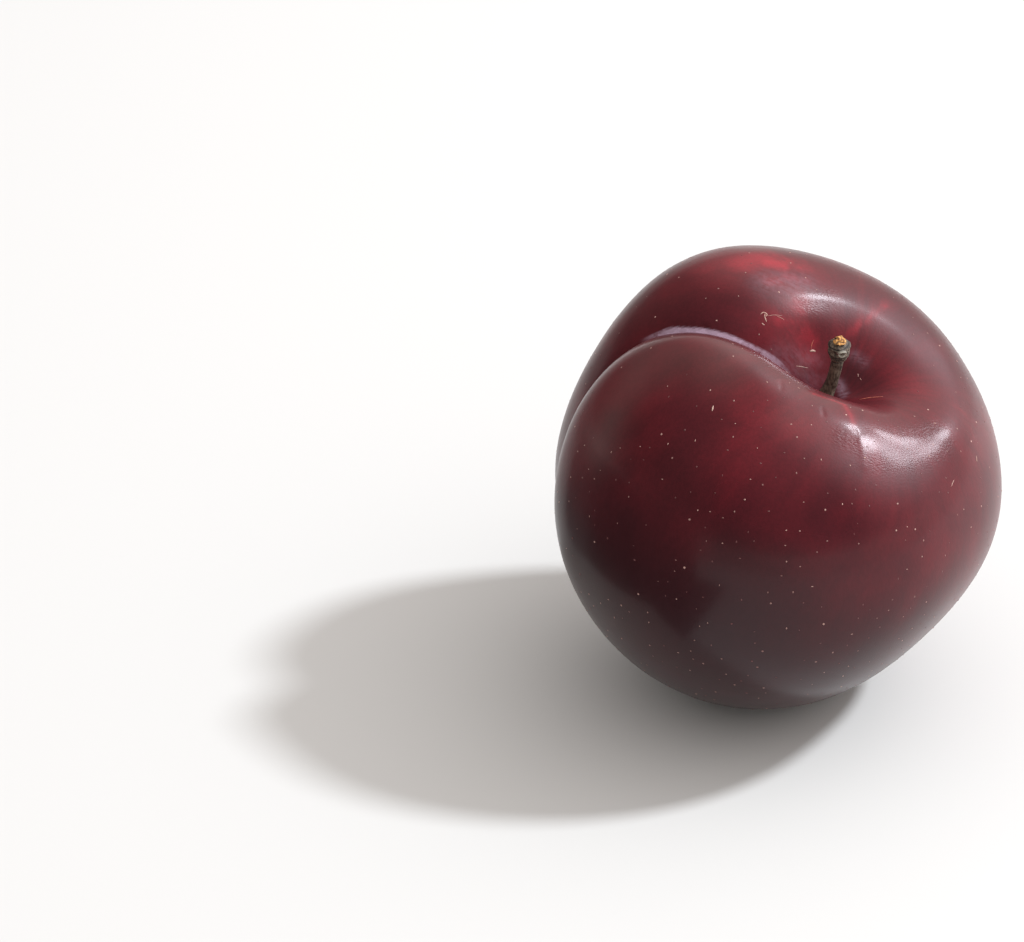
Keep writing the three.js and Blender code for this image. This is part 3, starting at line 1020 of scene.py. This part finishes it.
class PLUM_OT_make_stage(bpy.types.Operator):
    """Make the pale floor, the soft light and the camera"""

    bl_idname = "plum.make_stage"
    bl_label = "Stage"

    def execute(self, context):
        settings = context.scene.plum_stage
        self.make_floor(context, settings)
        self.make_lamps(context, settings)
        self.make_cards()
        self.make_sky(context, settings)
        self.make_camera(context)
        context.scene.view_settings.view_transform = "Standard"
        return {"FINISHED"}

    def make_floor(self, context, settings):
        """A plain square just under the fruit."""
        half = settings.floor_size / 2
        flat = [(-half, -half), (half, -half), (half, half), (-half, half)]
        corners = [(x, y, -FLOOR_DROP) for x, y in flat]
        material = plain_material("studio_floor", settings.floor_colour, 1.0)
        floor = new_piece("studio_floor", corners, [(0, 1, 2, 3)], material)
        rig.stage(floor)

    def make_lamp(self, context, name, elevation, azimuth, size, power, colour):
        """A round soft lamp that faces the plum from a direction."""
        towards = Vector(
            (
                math.cos(elevation) * math.cos(azimuth),
                math.cos(elevation) * math.sin(azimuth),
                math.sin(elevation),
            )
        )
        light = bpy.data.lights.new(name, "AREA")
        light.shape = "DISK"
        light.size = size
        light.energy = power
        light.color = colour
        lamp = bpy.data.objects.new(name, light)
        facing = towards.to_track_quat("Z", "Y").to_matrix().to_4x4()
        lamp.matrix_world = Matrix.Translation(towards * LAMP_DISTANCE) @ facing
        context.scene.collection.objects.link(lamp)
        return lamp

    def make_lamps(self, context, settings):
        """One lamp lights the skin and the floor, and the others make the gloss."""
        towards = (settings.key_elevation, settings.key_azimuth)
        size, power = settings.key_size, settings.key_power
        key = self.make_lamp(context, "key_light", *towards, size, power, KEY_COLOUR)
        key.visible_glossy = False
        for name, elevation, azimuth, size, share in GLOSS_LAMPS:
            power = settings.gloss_power * share
            lamp = self.make_lamp(context, name, elevation, azimuth, size, power, GLOSS_COLOUR)
            lamp.visible_diffuse = False

    def make_cards(self):
        """Dark cards at the left and the front that only the gloss sees."""
        turn = Matrix.Rotation(CARD_AZIMUTH, 4, "Z")
        width, height = CARD_SIZE
        upright = [(0, -width / 2, 0), (0, width / 2, 0), (0, width / 2, height), (0, -width / 2, height)]
        upright = [turn @ (Vector(corner) + Vector((CARD_DISTANCE, 0, 0))) for corner in upright]
        lying = [(x, y, CARD_LIFT) for x, y in LOW_CARD]
        for name, corners in (("side_card", upright), ("low_card", lying)):
            material = plain_material(name, CARD_COLOUR, CARD_ROUGHNESS)
            card = new_piece(name, corners, [(0, 1, 2, 3)], material)
            card.visible_camera = False
            card.visible_diffuse = False
            card.visible_shadow = False
            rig.stage(card)

    def make_sky(self, context, settings):
        """A white studio, darker low down and to the left.

        The gloss sees only a window at the upper right, and a low wall just above the horizon.
        """
        world = bpy.data.worlds.new("studio_sky")
        world.use_nodes = True
        tree = world.node_tree
        direction = add_node(tree, "ShaderNodeTexCoord").outputs["Generated"]
        split = add_node(tree, "ShaderNodeSeparateXYZ", {"Vector": direction})
        above = ramp_between(tree, split.outputs["Z"], *SKY_RISES, settings.horizon_share, 1.0)
        beside = ramp_between(tree, split.outputs["X"], *SKY_SIDES, settings.dark_side_share, 1.0)
        strength = calculate(tree, "MULTIPLY", above, beside)
        strength = calculate(tree, "MULTIPLY", strength, settings.sky_strength)
        ways = {0: direction, 1: WINDOW_TOWARDS}
        facing = add_node(tree, "ShaderNodeVectorMath", ways, operation="DOT_PRODUCT").outputs["Value"]
        window = ramp_between(tree, facing, *WINDOW_EDGES, settings.gloss_sky_share, 1.0)
        wall = ramp_between(tree, split.outputs["Z"], *WALL_EDGES, settings.gloss_wall_share, 0.0)
        reflected = calculate(tree, "MAXIMUM", window, wall)
        in_gloss = add_node(tree, "ShaderNodeLightPath").outputs["Is Glossy Ray"]
        share = add_node(tree, "ShaderNodeMix", {0: in_gloss, 2: 1.0, 3: reflected}, data_type="FLOAT")
        strength = calculate(tree, "MULTIPLY", strength, share.outputs[0])
        background = tree.nodes["Background"]
        background.inputs["Color"].default_value = (*settings.sky_colour, 1)
        tree.links.new(strength, background.inputs["Strength"])
        context.scene.world = world

    def make_camera(self, context):
        """The camera that took the photo."""
        data = bpy.data.cameras.new("camera")
        data.lens = CAMERA_LENS
        data.sensor_width = SENSOR_WIDTH
        data.clip_end = CAMERA_REACH
        camera = bpy.data.objects.new("camera", data)
        tilt = Matrix.Rotation(math.pi / 2 - CAMERA_DOWN, 4, "X")
        camera.matrix_world = Matrix.Translation(CAMERA_PLACE) @ tilt
        context.scene.collection.objects.link(camera)
        context.scene.camera = camera


class PLUM_OT_make_fruit(bpy.types.Operator):
    """Make the fruit's skin over its solid"""

    bl_idname = "plum.make_fruit"
    bl_label = "Fruit"

    def execute(self, context):
        settings = context.scene.plum_fruit
        row_share = (np.arange(settings.rows - 1) + 1) / settings.rows
        even = np.arange(settings.columns) / settings.columns * 2 * math.pi
        row_angles = math.pi * row_share**ROW_CROWDING
        column_angles = even - COLUMN_CROWDING * np.sin(even)
        from_stem, round_stem = np.meshgrid(row_angles, column_angles, indexing="ij")
        from_stem = np.concatenate([[0.0], from_stem.ravel(), [math.pi]])
        round_stem = np.concatenate([[0.0], round_stem.ravel(), [0.0]])
        own = skin_points(from_stem, round_stem)
        pose = lying_pose()
        from_middle = np.hypot(own[:, 0] - CAVITY_TO_SUTURE, own[:, 1] + CAVITY_TO_FAR)
        stem_side = own[:, 2] > 0
        from_foot = np.hypot(own[:, 0] - STEM_TO_SUTURE, own[:, 1] + CAVITY_TO_FAR)
        own[:, 2] -= FOOT_RING_DEPTH * bell(from_foot - FOOT_RING_RADIUS, FOOT_RING_WIDTH) * stem_side
        own = self.ripple(own, from_middle)
        points = own @ np.array(pose.to_3x3()).T + np.array(pose.translation)
        points[:, 2] = press_flat(points[:, 2])

        columns = settings.columns
        first = [(0, 1 + c, 1 + (c + 1) % columns) for c in range(columns)]
        body = [tuple(1 + i for i in face) for face in grid_faces(settings.rows - 1, columns)]
        last_row = 1 + (settings.rows - 2) * columns
        bottom = len(points) - 1
        last = [(bottom, last_row + (c + 1) % columns, last_row + c) for c in range(columns)]
        faces = first + body + last
        points = self.fold(points, faces)
        piece = new_piece("fruit_skin", points, faces, skin_material(settings))
        self.paint_skin(piece, points, faces, from_stem, round_stem, from_middle)
        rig.ride(piece, ROOT_BODY)
        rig.replaces(piece, "fruit")
        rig.slot(piece, "skin")
        return {"FINISHED"}

    def ripple(self, own, from_middle):
        """Moves the points in and out by fine uneven growth, less in the cavity."""
        calm = 1 - bell(from_middle, FUNNEL_RADIUS)
        outwards = own / np.linalg.norm(own, axis=1)[:, None]
        rise = np.zeros(len(own))
        for wavelength, height in RIPPLES:
            rise += height * np.array([noise.noise(Vector(p / wavelength)) for p in own])
        return own + outwards * (rise * calm)[:, None]

    def fold(self, points, faces):
        """Raises the skin's ridges and sinks its puckers."""
        skin_tree = BVHTree.FromPolygons([tuple(p) for p in points], faces)
        folded = points.copy()
        for _, pixels, radius, height in FOLDS:
            places = [on_skin(skin_tree, pixel) for pixel in pixels]
            share = bell(from_line(points, [place for place, _ in places]), radius)
            folded += share[:, None] * height * np.array(places[0][1])
        return folded

    def paint_skin(self, piece, points, faces, from_stem, round_stem, from_middle):
        """Paints the skin's patches, painted shade and sheen among them, where lenticels grow, and the ways that its
        patterns follow.
        """
        skin_tree = BVHTree.FromPolygons([tuple(p) for p in points], faces)
        body = body_points(from_stem, round_stem)[1]
        beside = body[:, 1] - suture_middle(from_stem)
        groove = self.groove_bloom(from_stem, body, beside)
        paint(piece, "blush", patch_strength(points, skin_tree, RED_PATCHES))
        paint(piece, "bloom", np.maximum(patch_strength(points, skin_tree, BLOOM_PATCHES), groove))
        paint(piece, "haze", patch_strength(points, skin_tree, HAZE_AND_SHEEN_PATCHES))
        paint(piece, "combed", patch_strength(points, skin_tree, COMBED_PATCHES))
        paint(piece, "rubbed", patch_strength(points, skin_tree, RUBBED_PATCHES))
        outwards = points - points.mean(axis=0)
        outwards /= np.linalg.norm(outwards, axis=1)[:, None]
        # Painted shade: the side towards the lower front left and the shade patches are darkened.
        painted_shade = outwards @ np.array(Vector(SHADE_TOWARDS).normalized())
        painted_shade = smooth((painted_shade - SHADE_FROM) / (SHADE_TO - SHADE_FROM))
        paint(piece, "painted_shade", np.maximum(painted_shade, patch_strength(points, skin_tree, SHADE_PATCHES)))
        in_cavity = (1 - smooth((from_middle - CLEAR_RADIUS) / CLEAR_EDGE)) * (from_stem < math.pi / 2)
        facing = outwards @ np.array(Vector(DENSE_TOWARDS).normalized())
        dense = SPARSE_SHARE + (1 - SPARSE_SHARE) * smooth(DENSE_SHIFT + facing)
        bare = in_cavity + smooth(3 * groove) + smooth(1 - points[:, 2] / CLEAR_EDGE)
        paint(piece, "dotted", dense * np.clip(1 - bare, 0, 1))
        way = np.stack([np.cos(round_stem), np.sin(round_stem), from_stem / math.pi], axis=-1)
        way[0, :2] = 0
        way[-1, :2] = 0
        paint_vector(piece, "way", way)
        along_groove = body[:, [0, 2]] * BRUSHED_STRETCH
        paint_vector(piece, "groove_way", np.concatenate([beside[:, None], along_groove], axis=1))

    def groove_bloom(self, from_stem, body, beside):
        """How thick the bloom is on the far wall of the suture, whose middle each point lies beside."""
        waves = [Vector((angle * GROOVE_BLOOM_WAVES, *GROOVE_BLOOM_NOISE_PLACE)) for angle in from_stem]
        wander = np.array([noise.noise(place) for place in waves])
        reach = GROOVE_BLOOM_REACH * (1 + GROOVE_BLOOM_WANDER * wander)
        inside = (beside < GROOVE_BLOOM_PAST) * (body[:, 0] > 0)
        across = smooth((beside + reach) / GROOVE_BLOOM_EDGE + 0.5) * inside
        across = across * (1 - GROOVE_BLOOM_THINNING * smooth((beside + reach) / reach))
        along = smooth((GROOVE_BLOOM_TO - from_stem) / GROOVE_BLOOM_FADE)
        along = along * np.interp(from_stem, GROOVE_BLOOM_ANGLES, GROOVE_BLOOM_SHARES)
        return GROOVE_BLOOM_STRENGTH * across * along


class PLUM_OT_make_lenticels(bpy.types.Operator):
    """Scatter the pale corky dots over the skin"""

    bl_idname = "plum.make_lenticels"
    bl_label = "Lenticels"

    def execute(self, context):
        settings = context.scene.plum_lenticels
        skin = bpy.data.objects["fruit_skin"]
        carrier = bpy.data.objects.new("lenticels", skin.data.copy())
        context.scene.collection.objects.link(carrier)
        group = self.scatter_tree()
        modifier = carrier.modifiers.new("scatter", "NODES")
        modifier.node_group = group
        items = [item for item in group.interface.items_tree if item.item_type == "SOCKET"]
        sockets = {item.name: item.identifier for item in items}
        modifier[sockets["Spacing"]] = settings.spacing
        modifier[sockets["Density"]] = settings.density
        modifier[sockets["Radius"]] = settings.radius
        modifier[sockets["Seed"]] = settings.seed
        modifier[sockets["Material"]] = lenticel_material(settings)
        context.view_layer.update()
        evaluated = carrier.evaluated_get(context.evaluated_depsgraph_get())
        mesh = bpy.data.meshes.new_from_object(evaluated)
        carrier.modifiers.remove(modifier)
        carrier.data = mesh
        mesh.name = "lenticels"
        mesh.shade_smooth()
        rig.ride(carrier, ROOT_BODY)
        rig.slot(carrier, "skin")
        return {"FINISHED"}

    def scatter_tree(self):
        """Geometry nodes that set a flat dome on each of some scattered points."""
        tree = bpy.data.node_groups.new("scatter_lenticels", "GeometryNodeTree")
        face = tree.interface
        face.new_socket("Geometry", in_out="INPUT", socket_type="NodeSocketGeometry")
        for name in ("Spacing", "Density", "Radius"):
            face.new_socket(name, in_out="INPUT", socket_type="NodeSocketFloat")
        face.new_socket("Seed", in_out="INPUT", socket_type="NodeSocketInt")
        face.new_socket("Material", in_out="INPUT", socket_type="NodeSocketMaterial")
        face.new_socket("Geometry", in_out="OUTPUT", socket_type="NodeSocketGeometry")
        given = tree.nodes.new("NodeGroupInput").outputs
        result = tree.nodes.new("NodeGroupOutput")

        dotted = add_node(tree, "GeometryNodeInputNamedAttribute", {"Name": "dotted"}, data_type="FLOAT")
        points = add_node(
            tree,
            "GeometryNodeDistributePointsOnFaces",
            {
                "Mesh": given["Geometry"],
                "Distance Min": given["Spacing"],
                "Density Max": given["Density"],
                "Density Factor": dotted.outputs["Attribute"],
                "Seed": given["Seed"],
            },
            distribute_method="POISSON",
        )
        faceted = {"Segments": LENTICEL_SIDES, "Rings": LENTICEL_RINGS, "Radius": given["Radius"]}
        dome = add_node(tree, "GeometryNodeMeshUVSphere", faceted)
        sizes = {"Min": LENTICEL_LEAST, "Max": LENTICEL_MOST}
        size = add_node(tree, "FunctionNodeRandomValue", sizes, data_type="FLOAT_VECTOR")
        placed = add_node(
            tree,
            "GeometryNodeInstanceOnPoints",
            {
                "Points": points.outputs["Points"],
                "Instance": dome.outputs["Mesh"],
                "Rotation": points.outputs["Rotation"],
                "Scale": size.outputs["Value"],
            },
        )
        paleness = {"Min": LENTICEL_DIMMEST, "Max": LENTICEL_PALEST, "Seed": PALENESS_SEED}
        pale = add_node(tree, "FunctionNodeRandomValue", paleness, data_type="FLOAT")
        told = add_node(
            tree,
            "GeometryNodeStoreNamedAttribute",
            {"Geometry": placed.outputs[0], "Name": "paleness", "Value": pale.outputs[1]},
            data_type="FLOAT",
            domain="INSTANCE",
        )
        real = add_node(tree, "GeometryNodeRealizeInstances", {"Geometry": told.outputs[0]})
        coated = {"Geometry": real.outputs[0], "Material": given["Material"]}
        dressed = add_node(tree, "GeometryNodeSetMaterial", coated)
        tree.links.new(dressed.outputs[0], result.inputs[0])
        return tree


class PLUM_OT_make_marks(bpy.types.Operator):
    """Make the healed scratches, scars and cracks of the skin"""

    bl_idname = "plum.make_marks"
    bl_label = "Marks"

    def execute(self, context):
        settings = context.scene.plum_marks
        skin = bpy.data.objects["fruit_skin"].data
        corners = [vertex.co for vertex in skin.vertices]
        skin_tree = BVHTree.FromPolygons(corners, [face.vertices[:] for face in skin.polygons])
        points, faces, raw = [], [], []
        for _, pixels, width, height, rawness in MARKS:
            weal_points, weal_faces = self.weal(skin_tree, pixels, width, height)
            faces += [tuple(len(points) + i for i in face) for face in weal_faces]
            points += weal_points
            raw += [rawness] * len(weal_points)
        piece = new_piece("skin_marks", points, faces, mark_material(settings))
        paint(piece, "raw", raw)
        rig.ride(piece, ROOT_BODY)
        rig.slot(piece, "skin")
        return {"FINISHED"}

    def weal(self, skin_tree, pixels, width, height):
        """A thin raised line on the skin with pointed ends, as points and faces."""
        corners = np.array(pixels, float)
        steps = np.linspace(0, len(corners) - 1, WEAL_RINGS)
        at = np.arange(len(corners))
        track = np.stack([np.interp(steps, at, values) for values in corners.T], axis=-1)
        track[1:-1] = (track[:-2] + 2 * track[1:-1] + track[2:]) / 4
        seen = [on_skin(skin_tree, pixel) for pixel in track]
        places = [place for place, _ in seen]
        points = []
        for ring, (place, normal) in enumerate(seen):
            ahead = (places[min(ring + 1, WEAL_RINGS - 1)] - places[max(ring - 1, 0)]).normalized()
            across = normal.cross(ahead).normalized()
            fullness = math.sqrt(math.sin(math.pi * (ring + 0.5) / WEAL_RINGS))
            for side in range(WEAL_SIDES):
                angle = 2 * math.pi * side / WEAL_SIDES
                reach = across * math.cos(angle) * width / 2 + normal * math.sin(angle) * height
                points.append(place + reach * fullness)
        faces = grid_faces(WEAL_RINGS, WEAL_SIDES)
        last = (WEAL_RINGS - 1) * WEAL_SIDES
        faces.append(tuple(range(WEAL_SIDES))[::-1])
        faces.append(tuple(last + side for side in range(WEAL_SIDES)))
        return points, [face[::-1] for face in faces[:-2]] + faces[-2:]


class PLUM_OT_make_stem(bpy.types.Operator):
    """Make the dry stem with its knob and broken tip"""

    bl_idname = "plum.make_stem"
    bl_label = "Stem"

    def execute(self, context):
        settings = context.scene.plum_stem
        rounds = np.arange(settings.sides) / settings.sides * 2 * math.pi
        share = np.linspace(0, 1, settings.rings + 1)
        line, ahead = self.middle_line(share)
        relief, creased, scarred = self.bark(share, rounds)
        radius = self.radius(share)[:, None] + relief

        inwards = np.linspace(1, 0, TIP_RINGS + 1)[1:-1]
        line = np.concatenate([line, np.repeat(line[-1:], len(inwards), axis=0)])
        ahead = np.concatenate([ahead, np.repeat(ahead[-1:], len(inwards), axis=0)])
        radius = np.concatenate([radius, inwards[:, None] * radius[-1:]])
        height, hollow = self.broken_tip(np.concatenate([np.ones_like(share), inwards]), rounds)
        height[: len(share)] *= smooth((share - TIP_FROM) / (1 - TIP_FROM))[:, None]

        side = np.cross(ahead, (1, 0, 0))
        side /= np.linalg.norm(side, axis=1)[:, None]
        across = np.cross(side, ahead)
        wall = (
            line[:, None]
            + height[..., None] * ahead[:, None]
            + (radius * np.cos(rounds))[..., None] * across[:, None]
            + (radius * np.sin(rounds))[..., None] * side[:, None]
        )
        rings = len(wall)
        top_height = height[-1].mean()
        points = np.concatenate([wall.reshape(-1, 3), line[:1], line[-1:] + top_height * ahead[-1:]])
        faces = [face[::-1] for face in grid_faces(rings, settings.sides)]
        foot = len(points) - 2
        top = len(points) - 1
        last = (rings - 1) * settings.sides
        for c in range(settings.sides):
            after = (c + 1) % settings.sides
            faces.append((foot, after, c))
            faces.append((top, last + c, last + after))
        piece = new_piece("stem_bark", points, faces, stem_material(settings))

        bare = np.concatenate([smooth((share - BARE_FROM) / BARE_EDGE), np.ones(len(inwards))])
        plain = np.zeros((len(inwards), settings.sides))
        paint(piece, "tip", [*np.repeat(bare, settings.sides), 0, 1])
        paint(piece, "crease", [*np.concatenate([creased, plain]).ravel(), 0, 0])
        paint(piece, "scar", [*np.concatenate([scarred, plain]).ravel(), 0, 0])
        paint(piece, "hollow", [*hollow.ravel(), 0, 0])
        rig.ride(piece, ROOT_BODY)
        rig.replaces(piece, "stem")
        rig.slot(piece, "stem_wood")
        return {"FINISHED"}

    def bark(self, share, rounds):
        """How far the bark stands out at each ring and side, and how creased and how scarred it is."""
        along = share * (STEM_LENGTH + STEM_SUNK)
        circle = (np.cos(rounds) * MM, np.sin(rounds) * MM)
        place = np.stack(np.broadcast_arrays(*circle, along[:, None]), axis=-1)
        lumps = self.noise_over(place * (1, 1, LUMP_STRETCH), LUMP_SIZE)
        strands = self.noise_over(place * (1, 1, STRAND_STRETCH), STRAND_SIZE)
        in_knob = smooth((share - KNOB_FROM) / KNOB_SWELL)[:, None]
        relief = (BARK_ROUGHNESS + (KNOB_ROUGHNESS - BARK_ROUGHNESS) * in_knob) * lumps
        relief = relief + BARK_ROUGHNESS * (1 - in_knob) * strands
        creased = np.zeros_like(relief)
        for middle in KNOB_CREASES:
            wander = CREASE_WANDER * self.noise_over(place[:1] + (0, 0, middle), CREASE_WANDER_SIZE)
            creased = np.maximum(creased, bell(share[:, None] - middle - wander, KNOB_CREASE_WIDTH))
        from_scar = np.hypot(
            along[:, None] - SCAR_SHARE * along[-1],
            KNOB_RADIUS * (np.mod(rounds - SCAR_ROUND + math.pi, 2 * math.pi) - math.pi),
        )
        ring = bell(from_scar - SCAR_RING_RADIUS, SCAR_RING_WIDTH)
        creased = creased * (1 - smooth(SCAR_CLEAR - from_scar / SCAR_RING_RADIUS))
        relief = relief - KNOB_CREASE_DEPTH * creased + SCAR_RING_HEIGHT * ring
        relief = relief - SCAR_PIT_DEPTH * bell(from_scar, SCAR_PIT_WIDTH)
        return relief, creased, ring

    def broken_tip(self, inwards, rounds):
        """How high the broken wood stands at each ring and side of the tip, and how hollow it is."""
        inwards = inwards[:, None]
        circle = (inwards * np.cos(rounds), inwards * np.sin(rounds))
        place = np.stack(np.broadcast_arrays(*circle, np.zeros_like(inwards)), axis=-1)
        jags = self.noise_over(place + JAG_PLACE, JAG_SIZE)
        step = TIP_STEP * (place[..., 0] > TIP_STEP_AT + TIP_STEP_SLANT * place[..., 1])
        height = TIP_DOME * (1 - inwards**2) + TIP_JAGS * jags - step
        return height, np.clip(-HOLLOW_SHARE * jags, 0, 1)

    def noise_over(self, places, size):
        """Noise of a grain size at each of some places, from about -1 to 1."""
        flat = (places / size).reshape(-1, 3)
        return np.array([noise.noise(Vector(place)) for place in flat]).reshape(places.shape[:-1])

    def middle_line(self, share):
        """Places along the stem's middle and the way ahead at each."""
        pose = lying_pose()
        floor = pose @ stem_place()
        axis = pose.to_3x3() @ Vector((0, 0, 1))
        tip = floor + TIP_LEAN.normalized() * STEM_LENGTH
        controls = [
            floor - axis * STEM_SUNK,
            floor + axis * STEM_LENGTH * FOOT_PULL,
            tip - TIP_RISE.normalized() * STEM_LENGTH * TIP_PULL,
            tip,
        ]
        a, b, c, d = (np.array(control) for control in controls)
        t = share[:, None]
        line = a * (1 - t) ** 3 + 3 * b * t * (1 - t) ** 2 + 3 * c * t**2 * (1 - t) + d * t**3
        ahead = (b - a) * (1 - t) ** 2 + 2 * (c - b) * t * (1 - t) + (d - c) * t**2
        return line, ahead / np.linalg.norm(ahead, axis=1)[:, None]

    def radius(self, share):
        """How thick the plain stem is along its length: flared at the foot, ringed at the knob."""
        flare = (FOOT_RADIUS - STEM_RADIUS) * bell(share, FOOT_FLARE)
        in_knob = smooth((share - KNOB_FROM) / KNOB_SWELL)
        knob = (KNOB_RADIUS - STEM_RADIUS) * in_knob
        taper = (KNOB_RADIUS - TIP_RADIUS) * smooth((share - TIP_FROM) / TIP_TAPER)
        rings = KNOB_RING_HEIGHT * in_knob * np.sin((share - KNOB_FROM) * 2 * math.pi * KNOB_RINGS)
        return STEM_RADIUS + flare + knob - taper + rings


class PLUM_PT_sidebar(bpy.types.Panel):
    """Lists the plum's operators and settings"""

    bl_idname = "PLUM_PT_sidebar"
    bl_label = "Plum"
    bl_space_type = "VIEW_3D"
    bl_region_type = "UI"
    bl_category = "Plum"

    def draw(self, context):
        for operator, settings in STEPS:
            box = self.layout.box()
            box.operator(operator)
            group = getattr(context.scene, settings, None)
            for name in group.bl_rna.properties.keys() if group else []:
                if name not in ("rna_type", "name"):
                    box.prop(group, name)


# Each operator in the order of making, with the settings that it reads.
STEPS = [
    ("plum.make_stage", "plum_stage"),
    ("plum.make_fruit", "plum_fruit"),
    ("plum.make_lenticels", "plum_lenticels"),
    ("plum.make_marks", "plum_marks"),
    ("plum.make_stem", "plum_stem"),
]
SETTINGS = {
    "plum_stage": PlumStageSettings,
    "plum_fruit": PlumFruitSettings,
    "plum_lenticels": PlumLenticelSettings,
    "plum_marks": PlumMarkSettings,
    "plum_stem": PlumStemSettings,
}
CLASSES = [
    *SETTINGS.values(),
    PLUM_OT_make_stage,
    PLUM_OT_make_fruit,
    PLUM_OT_make_lenticels,
    PLUM_OT_make_marks,
    PLUM_OT_make_stem,
    PLUM_PT_sidebar,
]


def register():
    for cls in CLASSES:
        bpy.utils.register_class(cls)
    for name, group in SETTINGS.items():
        setattr(bpy.types.Scene, name, PointerProperty(type=group))


def unregister():
    for name in SETTINGS:
        delattr(bpy.types.Scene, name)
    for cls in reversed(CLASSES):
        bpy.utils.unregister_class(cls)


def main():
    register()
    for operator, _ in STEPS:
        category, name = operator.split(".")
        getattr(getattr(bpy.ops, category), name)()
    boxes = {"cad": CAD_BOX, "visual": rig.bounds()}
    with open(SIZE_FILE, "w") as file:
        json.dump({name: [list(corner) for corner in box] for name, box in boxes.items()}, file)


if __name__ == "__main__":
    main()
